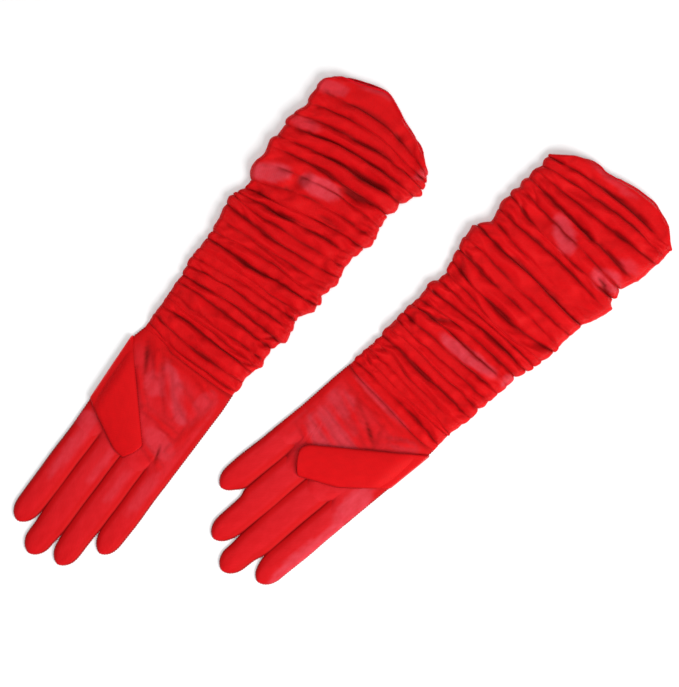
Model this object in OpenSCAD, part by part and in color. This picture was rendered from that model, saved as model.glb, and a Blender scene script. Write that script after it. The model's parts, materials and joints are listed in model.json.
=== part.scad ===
// A pair of sheer stretch-mesh opera gloves, laid flat with the palms up.
// Each glove is drawn in its own frame and then laid: x runs across to the thumb side,
// y runs from the wrist to the fingertips, z is up from the surface it lies on.
// The sleeve runs from the wrist along -y. The left glove is drawn mirrored.

/* [Mesh fabric] */
// Laid thickness of one layer of mesh
layer_t = 0.8; // [0.4:0.1:1.2]
// Room left inside a laid hand, finger or thumb
hand_room = 4.8; // [4.4:0.1:6]
// Width of the seam allowance inside an edge
seam_w = 1.6; // [1:0.1:3]
// Bulk of one gathered sleeve panel
gather_t = 1.4; // [1:0.1:1.6]
// Width of an elastic tape gathered into its seam
tape_w = 2.4; // [1.5:0.1:4]

/* [Fingers] */
// Laid widths of the index, middle, ring and little finger
finger_w = [21.5, 22.5, 21.5, 20.5]; // [16:0.5:26]
// Length of the almond taper at a fingertip
tip_taper = 15; // [9:0.5:25]
// Radius at the end of a fingertip
tip_r = 6.5; // [3:0.5:8]

/* [Thumbs] */
// Radius of a thumb's rounded end
thumb_r = 12.5; // [9:0.5:14]
// Room between a thumb's crease and the edge of the palm
crease_gap = 0.8; // [0.5:0.1:2]

/* [Right hand] */
// From the wrist to each finger's root, index to little
right_root = [94.5, 95, 94.5, 92]; // [80:0.5:110]
// Finger lengths past the root, index to little
right_finger_l = [89.5, 104, 97.5, 72.5]; // [55:0.5:120]
// Lean of each finger toward the thumb side, in degrees
right_lean = [-0.8, -0.8, -1.2, -1.2]; // [-8:0.1:8]
// Space between neighbouring finger roots
right_root_space = 1; // [0.8:0.1:5]
// Half width on the thumb side at the wrist, heel, middle and roots
right_thumb_side = [47, 50, 47, 44.5]; // [38:0.5:56]
// Half width on the little-finger side at the wrist, heel and middle
right_little_side = [43, 43.5, 44]; // [38:0.5:56]
// Where the thumb's crease starts and ends, from the wrist
right_crease = [10, 72]; // [2:1:80]
// Length of the folded thumb, from the middle of its crease
right_thumb_l = 72.5; // [60:0.5:80]
// Angle of the folded thumb to the hand, in degrees
right_thumb_turn = 50; // [45:1:60]

/* [Left hand] */
// From the wrist to each finger's root, index to little
left_root = [91, 93.5, 93, 80]; // [75:0.5:110]
// Finger lengths past the root, index to little
left_finger_l = [82.5, 94.5, 82, 62.5]; // [50:0.5:110]
// Lean of each finger toward the thumb side, in degrees
left_lean = [-3.5, -3.9, -3.1, -5.2]; // [-8:0.1:8]
// Space between neighbouring finger roots
left_root_space = 3; // [2:0.1:5]
// Half width on the thumb side at the wrist, heel, middle and roots
left_thumb_side = [49.5, 48.5, 45.5, 42.5]; // [38:0.5:56]
// Half width on the little-finger side at the wrist, heel and middle
left_little_side = [48, 48.5, 50]; // [38:0.5:56]
// Where the thumb's crease starts and ends, from the wrist
left_crease = [4, 46]; // [2:1:80]
// Length of the folded thumb, from the middle of its crease
left_thumb_l = 93; // [70:0.5:96]
// Angle of the folded thumb to the hand, in degrees
left_thumb_turn = 51; // [48:1:60]

/* [Sleeves] */
// From the wrist to the fold at the elbow
elbow_reach = 128; // [90:1:170]
// From the wrist to the cuff
cuff_reach = 232; // [190:1:300]
// Laid height of the forearm, upper and cuff parts
sleeve_h = [14, 18, 20]; // [14:0.5:30]
// Right half widths on the thumb side at mid forearm, elbow and cuff
right_sleeve_thumb = [50, 55.5, 58]; // [40:0.5:75]
// Right half widths on the little-finger side at mid forearm, elbow and cuff
right_sleeve_little = [48.5, 53, 60]; // [40:0.5:75]
// Left half widths on the thumb side at mid forearm, elbow and cuff
left_sleeve_thumb = [52, 59, 65]; // [40:0.5:75]
// Left half widths on the little-finger side at mid forearm, elbow and cuff
left_sleeve_little = [50, 55, 59]; // [40:0.5:75]

/* [Cuffs] */
// Length of the right cuff at its thumb side, middle and little-finger side
right_cuff_l = [15, 35, 9]; // [8:0.5:50]
// Length of the left cuff at its thumb side, middle and little-finger side
left_cuff_l = [21, 30, 8]; // [8:0.5:50]
// Width of the rolled hem
hem_w = 3; // [2:0.5:5]
// Thickness of the rolled hem
hem_t = 3.2; // [2.5:0.1:5]

/* [The laid pair] */
// Distance between the two wrists, across the pair
wrist_spacing = 142.5; // [125:0.5:220]
// How much further up the left glove lies
stagger = 81; // [0:1:120]
// Turn of each glove, so that the cuffs lie further apart, in degrees
splay = 4.2; // [0:0.1:8]

/* [Hidden] */
GLOVES = ["right", "left"];
FINGERS = ["index", "middle", "ring", "little"];

THUMB_SIDE = 1;
LITTLE_SIDE = -1;
// Clearance at each fold line, on both sides of it
fold_gap = 0.3;
// Clearance beside and below a finger's root
root_gap = 0.4;
// Clearance between the palm and the thumb that lies on it
lay_gap = 0.4;
// Places along the hand and forearm where half widths are given
heel_y = 14;
palm_y = 50;
forearm_y = -50;
// How far the palm outline is drawn past the finger roots before they are cut from it
web_l = 6;
// Smallest web of fabric that is left between two finger roots
web_r = 1;

hand_h = 2 * layer_t + hand_room;
thumb_z = hand_h + lay_gap;
mesh_red = [0.86, 0.06, 0.08];
seam_red = [0.55, 0.02, 0.04];
tape_red = [0.70, 0.03, 0.05];

function of(g, right, left) = g == "right" ? right : left;
function root(g) = of(g, right_root, left_root);
function finger_l(g) = of(g, right_finger_l, left_finger_l);
function root_space(g) = of(g, right_root_space, left_root_space);
function thumb_side(g) = of(g, right_thumb_side, left_thumb_side);
function little_side(g) = of(g, right_little_side, left_little_side);
function sleeve_thumb(g) = of(g, right_sleeve_thumb, left_sleeve_thumb);
function sleeve_little(g) = of(g, right_sleeve_little, left_sleeve_little);
function cuff_l(g) = of(g, right_cuff_l, left_cuff_l);

// Fingers stand side by side from the index finger's outer edge
function widths_to(i) = i == 0 ? 0 : widths_to(i - 1) + finger_w[i - 1];
function root_x(g, i) = thumb_side(g)[3] - widths_to(i) - i * root_space(g) - finger_w[i] / 2;
function roots_end(g) = widths_to(4) + 3 * root_space(g) - thumb_side(g)[3];

// Half width of a glove at y, on one side
function half_width(g, side, y) = side == THUMB_SIDE
    ? lookup(y, [[root(g)[0], thumb_side(g)[3]], [palm_y, thumb_side(g)[2]], [heel_y, thumb_side(g)[1]],
        [0, thumb_side(g)[0]], [forearm_y, sleeve_thumb(g)[0]], [-elbow_reach, sleeve_thumb(g)[1]],
        [-cuff_reach, sleeve_thumb(g)[2]]])
    : lookup(y, [[root(g)[3], roots_end(g)], [palm_y, little_side(g)[2]], [heel_y, little_side(g)[1]],
        [0, little_side(g)[0]], [forearm_y, sleeve_little(g)[0]], [-elbow_reach, sleeve_little(g)[1]],
        [-cuff_reach, sleeve_little(g)[2]]]);

// Points along one edge of a glove, moved in by inset
function edge(g, side, ys, inset) = [for (y = ys) [side * (half_width(g, side, y) - inset), y]];
function reversed(list) = [for (i = [len(list) - 1 : -1 : 0]) list[i]];

// The mouth of a cuff bows outward between its two sides
function mouth_x(g, f) = half_width(g, THUMB_SIDE, -cuff_reach) * (1 - f)
    - half_width(g, LITTLE_SIDE, -cuff_reach) * f;
function mouth_bow(g) = cuff_l(g)[1] - (cuff_l(g)[0] + cuff_l(g)[2]) / 2;
function mouth_l(g, f) = cuff_l(g)[0] * (1 - f) + cuff_l(g)[2] * f + mouth_bow(g) * 4 * f * (1 - f);
function mouth(g, inset) = [for (k = [0 : 12]) [mouth_x(g, k / 12), inset - cuff_reach - mouth_l(g, k / 12)]];

// The two ends of the line that a thumb folds about
function crease_y(g) = of(g, right_crease, left_crease);
function crease_start(g) = [
    max(half_width(g, THUMB_SIDE, crease_y(g)[0]), thumb_side(g)[1]) + crease_gap, crease_y(g)[0]];
function crease_end(g) = [half_width(g, THUMB_SIDE, crease_y(g)[1]) + crease_gap, crease_y(g)[1]];
function thumb_end(g, back) = (crease_start(g) + crease_end(g)) / 2
    + (of(g, right_thumb_l, left_thumb_l) - back)
        * [-sin(of(g, right_thumb_turn, left_thumb_turn)), cos(of(g, right_thumb_turn, left_thumb_turn))];

// The pair's box is centred on the origin
function cuff_side_x(g) = sleeve_thumb(g)[2] * cos(splay) + (cuff_reach + cuff_l(g)[0]) * sin(splay);
pair_x = (cuff_side_x("right") - cuff_side_x("left")) / 2;
pair_y = (right_root[1] + right_finger_l[1] - cuff_reach - left_cuff_l[1]) / 2 * cos(splay);
function wrist_x(g) = pair_x + of(g, -1, 1) * wrist_spacing / 2;
function wrist_y(g) = pair_y + of(g, -1, 1) * stagger / 2;

// Turns a glove from its own frame to where it lies
module lay(g) {
    translate([wrist_x(g), wrist_y(g), 0])
        rotate([0, 0, 180 + of(g, 1, -1) * splay])
            mirror([of(g, 0, 1), 0, 0])
                children();
}

// A flat piece of one colour, between two heights
module cloth(colour, z0, z1) {
    color(colour)
        translate([0, 0, z0])
            linear_extrude(z1 - z0)
                children();
}

// ---------- Hand ----------
module finger_at(g, i) {
    translate([root_x(g, i), root(g)[i]])
        rotate(-of(g, right_lean, left_lean)[i])
            children();
}

module palm_outline(g) {
    top = max(root(g)) + web_l;
    ys = [fold_gap, heel_y, palm_y, top];
    offset(web_r)
        offset(-web_r)
            difference() {
                polygon(concat(edge(g, THUMB_SIDE, ys, 0), reversed(edge(g, LITTLE_SIDE, ys, 0))));
                for (i = [0 : 3]) {
                    finger_at(g, i)
                        translate([-finger_w[i] / 2 - root_gap, -root_gap])
                            square([finger_w[i] + 2 * root_gap, 2 * top]);
                }
            }
}

module back_panel(g) {
    cloth(mesh_red, 0, layer_t) palm_outline(g);
}

module palm_panel(g) {
    cloth(mesh_red, hand_h - layer_t, hand_h) palm_outline(g);
}

// One seam allowance along each edge, from the wrist to the outer finger roots
module hand_side_seams(g) {
    cloth(seam_red, layer_t, hand_h - layer_t) {
        side_strip(g, THUMB_SIDE, [fold_gap, heel_y, palm_y, root(g)[0] - 2 * root_gap], seam_w);
        side_strip(g, LITTLE_SIDE, [fold_gap, heel_y, palm_y, root(g)[3] - 3 * root_gap], seam_w);
    }
}

// ---------- Fingers ----------
module finger_outline(g, i) {
    hull() {
        translate([-finger_w[i] / 2, 0])
            square([finger_w[i], finger_l(g)[i] - tip_taper]);
        translate([0, finger_l(g)[i] - tip_r])
            circle(tip_r, $fn = 32);
    }
}

module finger_back(g, i) {
    cloth(mesh_red, 0, layer_t) finger_at(g, i) finger_outline(g, i);
}

module finger_palm(g, i) {
    cloth(mesh_red, hand_h - layer_t, hand_h) finger_at(g, i) finger_outline(g, i);
}

// The allowance runs up one side, round the tip and down the other, and is open at the root
module finger_seam(g, i) {
    cloth(seam_red, layer_t, hand_h - layer_t)
        finger_at(g, i)
            difference() {
                finger_outline(g, i);
                offset(delta = -seam_w) finger_outline(g, i);
                translate([seam_w - finger_w[i] / 2, -seam_w])
                    square([finger_w[i] - 2 * seam_w, finger_l(g)[i] / 2]);
            }
}

// ---------- Thumb ----------
module thumb_outline(g) {
    hull() {
        polygon([crease_start(g), crease_end(g), thumb_end(g, thumb_r)]);
        translate(thumb_end(g, thumb_r))
            circle(thumb_r, $fn = 32);
    }
}

module thumb_under(g) {
    cloth(mesh_red, thumb_z, thumb_z + layer_t) thumb_outline(g);
}

module thumb_over(g) {
    cloth(mesh_red, thumb_z + hand_h - layer_t, thumb_z + hand_h) thumb_outline(g);
}

// Open along the crease, where the thumb joins the hand
module thumb_seam(g) {
    along = (crease_end(g) - crease_start(g)) / norm(crease_end(g) - crease_start(g)) * seam_w;
    cloth(seam_red, thumb_z + layer_t, thumb_z + hand_h - layer_t)
        difference() {
            thumb_outline(g);
            offset(delta = -seam_w) thumb_outline(g);
            polygon([
                crease_start(g) + 2 * along,
                crease_end(g) - 2 * along,
                crease_end(g) - 4 * along - [3 * seam_w, 0],
                crease_start(g) + 4 * along - [3 * seam_w, 0]
            ]);
        }
}

// ---------- Sleeve ----------
module side_strip(g, side, ys, w) {
    polygon(concat(edge(g, side, ys, 0), reversed(edge(g, side, ys, w))));
}

module sleeve_outline(g, ys) {
    polygon(concat(edge(g, THUMB_SIDE, ys, 0), reversed(edge(g, LITTLE_SIDE, ys, 0))));
}

function forearm_ys() = [-fold_gap, forearm_y, fold_gap - elbow_reach];
function upper_ys() = [-fold_gap - elbow_reach, fold_gap - cuff_reach];

module sleeve_back(g, ys) {
    cloth(mesh_red, 0, gather_t) sleeve_outline(g, ys);
}

module sleeve_front(g, ys, h) {
    cloth(mesh_red, h - gather_t, h) sleeve_outline(g, ys);
}

// At the wrist the front panel comes down to meet the palm
module forearm_front(g) {
    sleeve_front(g, forearm_ys(), sleeve_h[0]);
    cloth(mesh_red, hand_h - layer_t, sleeve_h[0] - gather_t)
        difference() {
            sleeve_outline(g, [-fold_gap, -fold_gap - gather_t]);
            side_strip(g, THUMB_SIDE, [0, -2 * gather_t], tape_w);
            side_strip(g, LITTLE_SIDE, [0, -2 * gather_t], tape_w);
        }
}

module elastic_tape(g, side, ys, h) {
    cloth(tape_red, gather_t, h - gather_t) side_strip(g, side, ys, tape_w);
}

// ---------- Cuff ----------
module cuff_outline(g) {
    polygon(concat(
        edge(g, THUMB_SIDE, [-fold_gap - cuff_reach], 0),
        mouth(g, hem_w),
        edge(g, LITTLE_SIDE, [-fold_gap - cuff_reach], 0)
    ));
}

module cuff_back(g) {
    cloth(mesh_red, 0, gather_t) cuff_outline(g);
}

module cuff_front(g) {
    cloth(mesh_red, sleeve_h[2] - gather_t, sleeve_h[2]) cuff_outline(g);
}

module cuff_side_seams(g) {
    cloth(seam_red, gather_t, sleeve_h[2] - gather_t)
        difference() {
            cuff_outline(g);
            translate([seam_w - half_width(g, LITTLE_SIDE, -cuff_reach), -2 * cuff_reach])
                square([mouth_x(g, 0) - mouth_x(g, 1) - 2 * seam_w, 2 * cuff_reach]);
        }
}

// The rolled hem goes all the way round the flattened mouth
module cuff_hem(g) {
    cloth(seam_red, 0, hem_t) hem_strip(g);
    cloth(seam_red, sleeve_h[2] - hem_t, sleeve_h[2]) hem_strip(g);
    cloth(seam_red, hem_t, sleeve_h[2] - hem_t)
        difference() {
            hem_strip(g);
            translate([mouth_x(g, 1) + hem_w, -2 * cuff_reach])
                square([mouth_x(g, 0) - mouth_x(g, 1) - 2 * hem_w, 2 * cuff_reach]);
        }
}

module hem_strip(g) {
    polygon(concat(mouth(g, hem_w), reversed(mouth(g, 0))));
}

for (g = GLOVES) {
    lay(g) back_panel(g);
    lay(g) palm_panel(g);
    lay(g) hand_side_seams(g);
    for (i = [0 : 3]) {
        lay(g) finger_back(g, i);
        lay(g) finger_palm(g, i);
        lay(g) finger_seam(g, i);
    }
    lay(g) thumb_under(g);
    lay(g) thumb_over(g);
    lay(g) thumb_seam(g);
    lay(g) forearm_front(g);
    lay(g) sleeve_front(g, upper_ys(), sleeve_h[1]);
    for (s = [["forearm", forearm_ys(), sleeve_h[0]], ["upper", upper_ys(), sleeve_h[1]]]) {
        lay(g) sleeve_back(g, s[1]);
        lay(g) elastic_tape(g, THUMB_SIDE, s[1], s[2]);
        lay(g) elastic_tape(g, LITTLE_SIDE, s[1], s[2]);
    }
    lay(g) cuff_back(g);
    lay(g) cuff_front(g);
    lay(g) cuff_side_seams(g);
    lay(g) cuff_hem(g);
}
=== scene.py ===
"""A pair of sheer stretch-mesh opera gloves, laid palms up, with ruched sleeves.

Each glove is shaped in its own frame: t runs across to the thumb side, v from the wrist towards
the fingertips (the sleeve is at negative v) and z up from the table. Lengths are in metres.
"""

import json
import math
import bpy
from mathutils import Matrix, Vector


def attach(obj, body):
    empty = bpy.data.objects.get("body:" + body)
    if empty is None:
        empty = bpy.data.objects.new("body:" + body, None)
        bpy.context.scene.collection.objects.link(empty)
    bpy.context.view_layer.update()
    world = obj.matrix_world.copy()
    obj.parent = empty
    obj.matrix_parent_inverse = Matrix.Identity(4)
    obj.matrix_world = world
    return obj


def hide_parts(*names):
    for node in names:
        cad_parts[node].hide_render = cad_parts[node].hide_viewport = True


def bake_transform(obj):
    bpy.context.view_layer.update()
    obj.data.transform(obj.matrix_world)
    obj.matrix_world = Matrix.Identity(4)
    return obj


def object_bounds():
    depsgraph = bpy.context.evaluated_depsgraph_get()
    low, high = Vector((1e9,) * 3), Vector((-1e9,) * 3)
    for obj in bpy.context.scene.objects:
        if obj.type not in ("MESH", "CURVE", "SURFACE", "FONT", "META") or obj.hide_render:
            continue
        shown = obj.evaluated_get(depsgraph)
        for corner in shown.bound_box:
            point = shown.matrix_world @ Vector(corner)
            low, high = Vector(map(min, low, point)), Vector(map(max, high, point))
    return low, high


bl_info = {
    "name": "Opera gloves",
    "version": (1, 0, 0),
    "blender": (4, 5, 0),
    "location": "3D View > Sidebar > Gloves",
    "description": "Cuts, gathers and sews a pair of sheer ruched opera gloves round their packed frame",
    "category": "Object",
}

import bmesh
import bpy
import numpy as np
from mathutils import Vector, noise

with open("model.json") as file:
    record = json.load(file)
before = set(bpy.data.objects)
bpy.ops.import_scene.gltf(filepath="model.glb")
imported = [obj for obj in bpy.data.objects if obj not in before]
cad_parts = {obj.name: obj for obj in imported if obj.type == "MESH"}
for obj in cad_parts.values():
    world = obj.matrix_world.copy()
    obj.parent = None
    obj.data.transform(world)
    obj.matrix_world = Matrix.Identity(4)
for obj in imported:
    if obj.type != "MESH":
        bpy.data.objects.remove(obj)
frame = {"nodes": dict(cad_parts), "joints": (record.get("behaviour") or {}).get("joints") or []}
CAD_BOX = [list(corner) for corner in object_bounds()]
JOINTS = {j["name"]: j for j in frame["joints"]}

MM = 0.001
GLOVES = ("right", "left")
FINGERS = ("index", "middle", "ring", "little")
# Which way along its wrist hinge each glove's thumb lies
THUMB_SIDE = {"right": 1, "left": -1}

# ---------- Cut and folds of each glove ----------
# Each fold line of a ruched sleeve, from the wrist down: how far down the sleeve it runs at the
# little-finger seam, in the middle and at the thumb seam (mm), and how deep it is there (0 to 1).
FOLDS = {
    "right": (
        (4, 2, 6, 0.7, 0.9, 0.8), (13, 11, 14, 0.8, 0.8, 0.7), (24, 25, 23, 0.9, 1.0, 0.8),
        (31, 30, 30, 0.8, 0.8, 0.7), (38, 37, 36, 0.7, 0.6, 0.7), (48, 49, 46, 0.9, 1.0, 0.5),
        (57, 57, 52, 0.8, 1.0, 0.9), (69, 68, 60, 0.6, 0.5, 0.6), (78, 76, 68, 0.8, 0.7, 0.5),
        (86, 82, 78, 0.5, 0.3, 0.6), (99, 92, 87, 0.6, 1.0, 0.9), (107, 101, 94, 0.7, 0.6, 0.8),
        (116, 110, 106, 0.5, 0.4, 0.5), (128, 119, 119, 0.8, 1.0, 0.9), (136, 129, 127, 0.7, 0.6, 0.7),
        (147, 140, 131, 0.6, 1.0, 1.0), (157, 150, 137, 1.0, 0.6, 1.0), (168, 163, 146, 0.7, 0.5, 0.6),
        (178, 176, 160, 0.7, 0.4, 0.4), (189, 186, 176, 1.0, 0.9, 0.4), (203, 199, 186, 1.0, 1.0, 0.6),
        (214, 212, 197, 0.8, 0.9, 0.7), (222, 223, 208, 0.8, 0.9, 0.7), (228, 233, 222, 0.7, 0.6, 0.8),
        (234, 246, 234, 0.6, 0.5, 0.6),
    ),
    "left": (
        (5, 7, 6, 0.8, 1.0, 0.9), (14, 13, 17, 0.6, 0.5, 0.8), (20, 21, 20, 0.7, 0.5, 0.5),
        (28, 27, 31, 0.6, 0.3, 0.5), (35, 37, 40, 0.9, 1.0, 0.6), (43, 45, 50, 0.6, 0.6, 0.9),
        (52, 55, 60, 0.6, 0.4, 0.7), (60, 64, 69, 0.9, 0.9, 0.7), (69, 77, 79, 0.9, 0.8, 0.4),
        (76, 85, 88, 0.6, 0.8, 0.9), (88, 95, 98, 0.8, 0.9, 0.8), (97, 103, 105, 0.8, 0.8, 0.8),
        (107, 108, 112, 0.7, 0.6, 0.6), (116, 116, 124, 0.9, 1.0, 1.0), (127, 128, 130, 0.9, 0.8, 0.6),
        (137, 138, 142, 0.6, 0.6, 0.5), (150, 153, 155, 0.9, 0.9, 0.9), (163, 162, 166, 0.7, 0.4, 0.2),
        (172, 176, 178, 0.8, 0.7, 0.2), (186, 184, 188, 0.9, 0.6, 1.0), (196, 196, 197, 0.8, 0.5, 1.0),
        (206, 209, 210, 0.9, 0.9, 0.5), (214, 222, 232, 0.7, 0.9, 0.6), (221, 235, 241, 0.9, 0.6, 0.4),
        (229, 246, 247, 1.0, 0.9, 0.5),
    ),
}
# The fold lines that bound the elbow piece of a sleeve
ELBOW_FOLDS = {"right": (11, 17), "left": (11, 17)}
# How far each side of a sleeve lies from the middle at each distance down it (both mm), first the
# little-finger side and then the thumb side
SIDES = {
    "right": (
        ((0, 43), (20, 44), (36, 47.5), (48, 46), (60, 51), (70, 49.5), (82, 46), (92, 53), (101, 54),
         (108, 51.5), (118, 54.5), (126, 55), (134, 51.5), (145, 51), (154, 53), (165, 58), (175, 56),
         (185, 53), (200, 54.5), (208, 59), (218, 64), (230, 61.5), (240, 57), (250, 52)),
        ((0, 47), (20, 48.5), (50, 49.5), (67, 52), (80, 51), (100, 53), (112, 55.5), (125, 58), (132, 55),
         (136, 53), (143, 51), (150, 56), (160, 59), (169, 57), (180, 60), (190, 57), (200, 59), (210, 58),
         (217, 54), (226, 56), (238, 57), (246, 59)),
    ),
    "left": (
        ((0, 48), (30, 48), (48, 49), (65, 50), (76, 49), (90, 51), (105, 48), (114, 52), (122, 52.5),
         (130, 56), (138, 58), (147, 61), (153, 57), (160, 52), (170, 56.5), (180, 58), (190, 58),
         (205, 58.5), (218, 57.5), (230, 60), (240, 57), (250, 54)),
        ((0, 49.5), (20, 49), (32, 50.5), (40, 52), (50, 51), (60, 52), (75, 53), (88, 52.5), (92, 54),
         (105, 57), (115, 58), (123, 60), (136, 58.5), (150, 59), (156, 59.5), (163, 63), (182, 67),
         (184, 62), (191, 62), (193, 60), (205, 61), (212, 65), (235, 66), (252, 65)),
    ),
}
# Places where a sleeve sinks between its folds: t, v, half sizes (mm), tilt (degrees), depth (mm)
HOLLOWS = {
    "right": (
        (21, -168, 5, 9, -10, 5.0), (-19, -184, 14, 3.2, 8, 5.5), (-22, -203, 18, 2.8, 7, 5.5),
        (-18, -157, 14, 2.6, 6, 4.5), (-22, -246, 4, 6, 0, 3.5), (2, -222, 16, 2.6, 12, 3.5),
        (44, -141, 9, 3.0, 12, 4.0), (12, -91, 22, 1.8, 5, 3.0), (14, -139, 18, 2.0, 14, 3.5),
    ),
    "left": (
        (-20, -79, 12, 2.6, -28, 4.5), (-30, -188, 12, 6, -20, 4.0), (6, -209, 16, 2.4, 6, 4.0),
        (0, -117, 22, 2.2, 2, 4.0), (46, -119, 9, 3, -25, 3.5), (4, -155, 36, 1.8, -2, 3.5),
        (48, -190, 10, 3, 5, 4.5), (-44, -113, 5, 8, 0, 3.0), (0, -246, 34, 2.2, -4, 3.5),
        (-8, -36, 30, 2.0, -2, 3.0), (-24, -226, 12, 5, -10, 3.0),
    ),
}
# Soft patches where the mesh lies in a single stretched layer and shows pale: t, v, half sizes
# (mm), tilt (degrees) and how sheer (0 to 1)
SHEER = {
    "right": (
        (-6, 27, 26, 8, -38, 0.9), (-20, 66, 16, 9, -15, 0.6), (-30, 22, 9, 16, 0, 0.5),
        (4, -174, 18, 8, 14, 0.9), (42, -160, 16, 8, 35, 0.85), (45, -243, 14, 6, 25, 0.6),
        (20, -262, 22, 3, 12, 0.5), (44, -207, 14, 5, 20, 0.5), (-54, -232, 4, 8, -30, 0.5),
        (6, 108, 4, 20, 0, 0.5), (34, 108, 5, 34, 0, 0.6), (-14, 114, 4, 18, 0, 0.5),
        (-34, 104, 5, 24, 0, 0.5), (38, 86, 8, 8, 0, 0.6), (12, 30, 12, 10, -40, 0.6),
    ),
    "left": (
        (-14, 52, 28, 17, 12, 0.9), (-30, 28, 14, 12, 0, 0.7), (37, 128, 5, 44, 4, 1.0),
        (36, 76, 9, 22, 0, 0.9), (28, 14, 14, 5, -30, 0.5), (-8, 3, 30, 3, 0, 0.6),
        (14, -73, 30, 6, -10, 0.9), (-4, -195, 17, 8, 30, 0.85), (-6, -253, 24, 3, -8, 0.45),
        (50, -82, 5, 7, 0, 0.8), (46, -194, 13, 9, -20, 0.8), (50, -214, 10, 4, -10, 0.5),
    ),
}
# Wrinkles of a laid palm: two ends (t, v), half width and height (mm), a crease where negative.
WRINKLES = {
    "right": (
        (-28, 54, 6, 51, 2.0, 0.7), (6, 51, 30, 30, 2.0, 0.8), (-33, 34, -6, 24, 4.0, 0.8),
        (-12, 42, 14, 14, 3.0, 0.9), (-38, 8, -30, 66, 2.5, 0.6), (-36, 12, -31, 60, 1.4, -0.2),
        (-27, 84, -21, 66, 1.2, -0.6), (14, 26, 26, 10, 2.0, 0.7), (-20, 6, 30, 3, 2.0, 0.7),
        (-34, 82, -10, 74, 2.0, 0.5), (28, 64, 46, 10, 2.0, 0.5), (40, 3, 24, 28, 2.0, -0.7),
        (31, 3, 16, 22, 2.6, 0.9), (24, 4, 8, 26, 1.6, -0.4), (-8, 4, -34, 12, 2.2, 0.6),
    ),
    "left": (
        (-42, 60, -18, 68, 2.4, 0.7), (-42, 48, -6, 54, 2.6, 0.8), (-40, 34, 6, 40, 2.6, 0.8),
        (-38, 20, 10, 33, 2.2, 0.9), (-40, 8, 20, 14, 2.4, 0.7), (14, 24, 34, 8, 2.4, 0.8),
        (-45, 6, -42, 72, 2.0, 0.6), (20, 18, 44, 4, 2.0, 0.6), (-30, 14, 30, 2, 1.8, 0.6),
        (-36, 27, -4, 38, 2.0, -0.22), (-38, 42, -10, 49, 2.0, -0.2), (-27, 14, -6, 22, 2.0, -0.35),
        (-8, 21, 13, 31, 1.8, -0.7), (12, 31, 6, 13, 1.6, -0.35),
    ),
}
# The sleeve's mouth, from the little-finger side to the thumb side: t, v (mm)
MOUTH = {
    "right": ((-60, -241), (-48, -252), (-32, -254.5), (-12, -261), (7, -270), (40, -260), (60, -249)),
    "left": ((-60, -233), (-47, -248), (-28, -257), (-20, -255), (15, -262), (35, -265), (55, -261),
             (66, -252)),
}
# How far the upper layer of a mouth stops short of the lower one (mm), and where across (-1 to 1)
MOUTH_STEP = {"right": (4.0, 0.5), "left": (3.0, -0.45)}
# The sleeve's first fold hangs over the hand, from the little-finger side to here: t (mm)
LIP_END = {"right": 30, "left": 52}
# Corners of each folded thumb, its end first: t, v (mm)
THUMB_CORNERS = {
    "right": ((-10.4, 75.1), (-3.2, 92.4)),
    "left": ((-25.4, 77.4), (-12.5, 91.8), (16.1, 75.6)),
}


# ---------- Settings a user may change ----------
class GloveClothSettings(bpy.types.PropertyGroup):
    colour: bpy.props.FloatVectorProperty(
        name="Mesh colour", description="Colour of the dyed mesh", subtype="COLOR",
        size=3, min=0, max=1, default=(0.63, 0.0025, 0.0050))
    sheer_colour: bpy.props.FloatVectorProperty(
        name="Stretched colour", description="Colour of the mesh where it is stretched thin", subtype="COLOR",
        size=3, min=0, max=1, default=(0.70, 0.050, 0.075))
    cover: bpy.props.FloatProperty(
        name="Cover", description="How much one relaxed layer hides", subtype="FACTOR",
        min=0.3, max=1, default=0.86)
    sheer_cover: bpy.props.FloatProperty(
        name="Stretched cover", description="How much one stretched layer hides", subtype="FACTOR",
        min=0.2, max=1, default=0.72)
    pitch: bpy.props.FloatProperty(
        name="Knit pitch", description="Distance between two rows of the knit", unit="LENGTH",
        min=0.0004, max=0.004, precision=4, default=0.0011)


class GloveSewingSettings(bpy.types.PropertyGroup):
    seam_w: bpy.props.FloatProperty(
        name="Seam allowance", description="Width of the allowance inside a seam", unit="LENGTH",
        min=0.001, max=0.008, precision=4, default=0.003)
    tape_w: bpy.props.FloatProperty(
        name="Elastic width", description="Width of the gathered elastic tape", unit="LENGTH",
        min=0.001, max=0.008, precision=4, default=0.0024)
    stitch_gap: bpy.props.FloatProperty(
        name="Stitch spacing", description="Distance between two stitches", unit="LENGTH",
        min=0.001, max=0.006, precision=4, default=0.0021)
    hem_r: bpy.props.FloatProperty(
        name="Hem radius", description="Radius of the rolled hem", unit="LENGTH",
        min=0.0004, max=0.002, precision=4, default=0.0008)
    thread: bpy.props.FloatVectorProperty(
        name="Thread colour", description="Colour of the seams and thread", subtype="COLOR",
        size=3, min=0, max=1, default=(0.28, 0.001, 0.004))


class GloveFoldSettings(bpy.types.PropertyGroup):
    fold_h: bpy.props.FloatProperty(
        name="Fold height", description="Height of a fold, as a share of its width", subtype="FACTOR",
        min=0, max=1, default=0.56)
    fold_most: bpy.props.FloatProperty(
        name="Highest fold", description="Most that a fold stands up", unit="LENGTH",
        min=0.001, max=0.01, precision=4, default=0.0068)
    puff: bpy.props.FloatProperty(
        name="Edge puff", description="How far a fold puffs out past the seam", unit="LENGTH",
        min=0, max=0.008, precision=4, default=0.0016)
    pucker: bpy.props.FloatProperty(
        name="Pucker", description="Height of the small puckers beside the elastic", unit="LENGTH",
        min=0, max=0.004, precision=4, default=0.0017)


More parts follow.
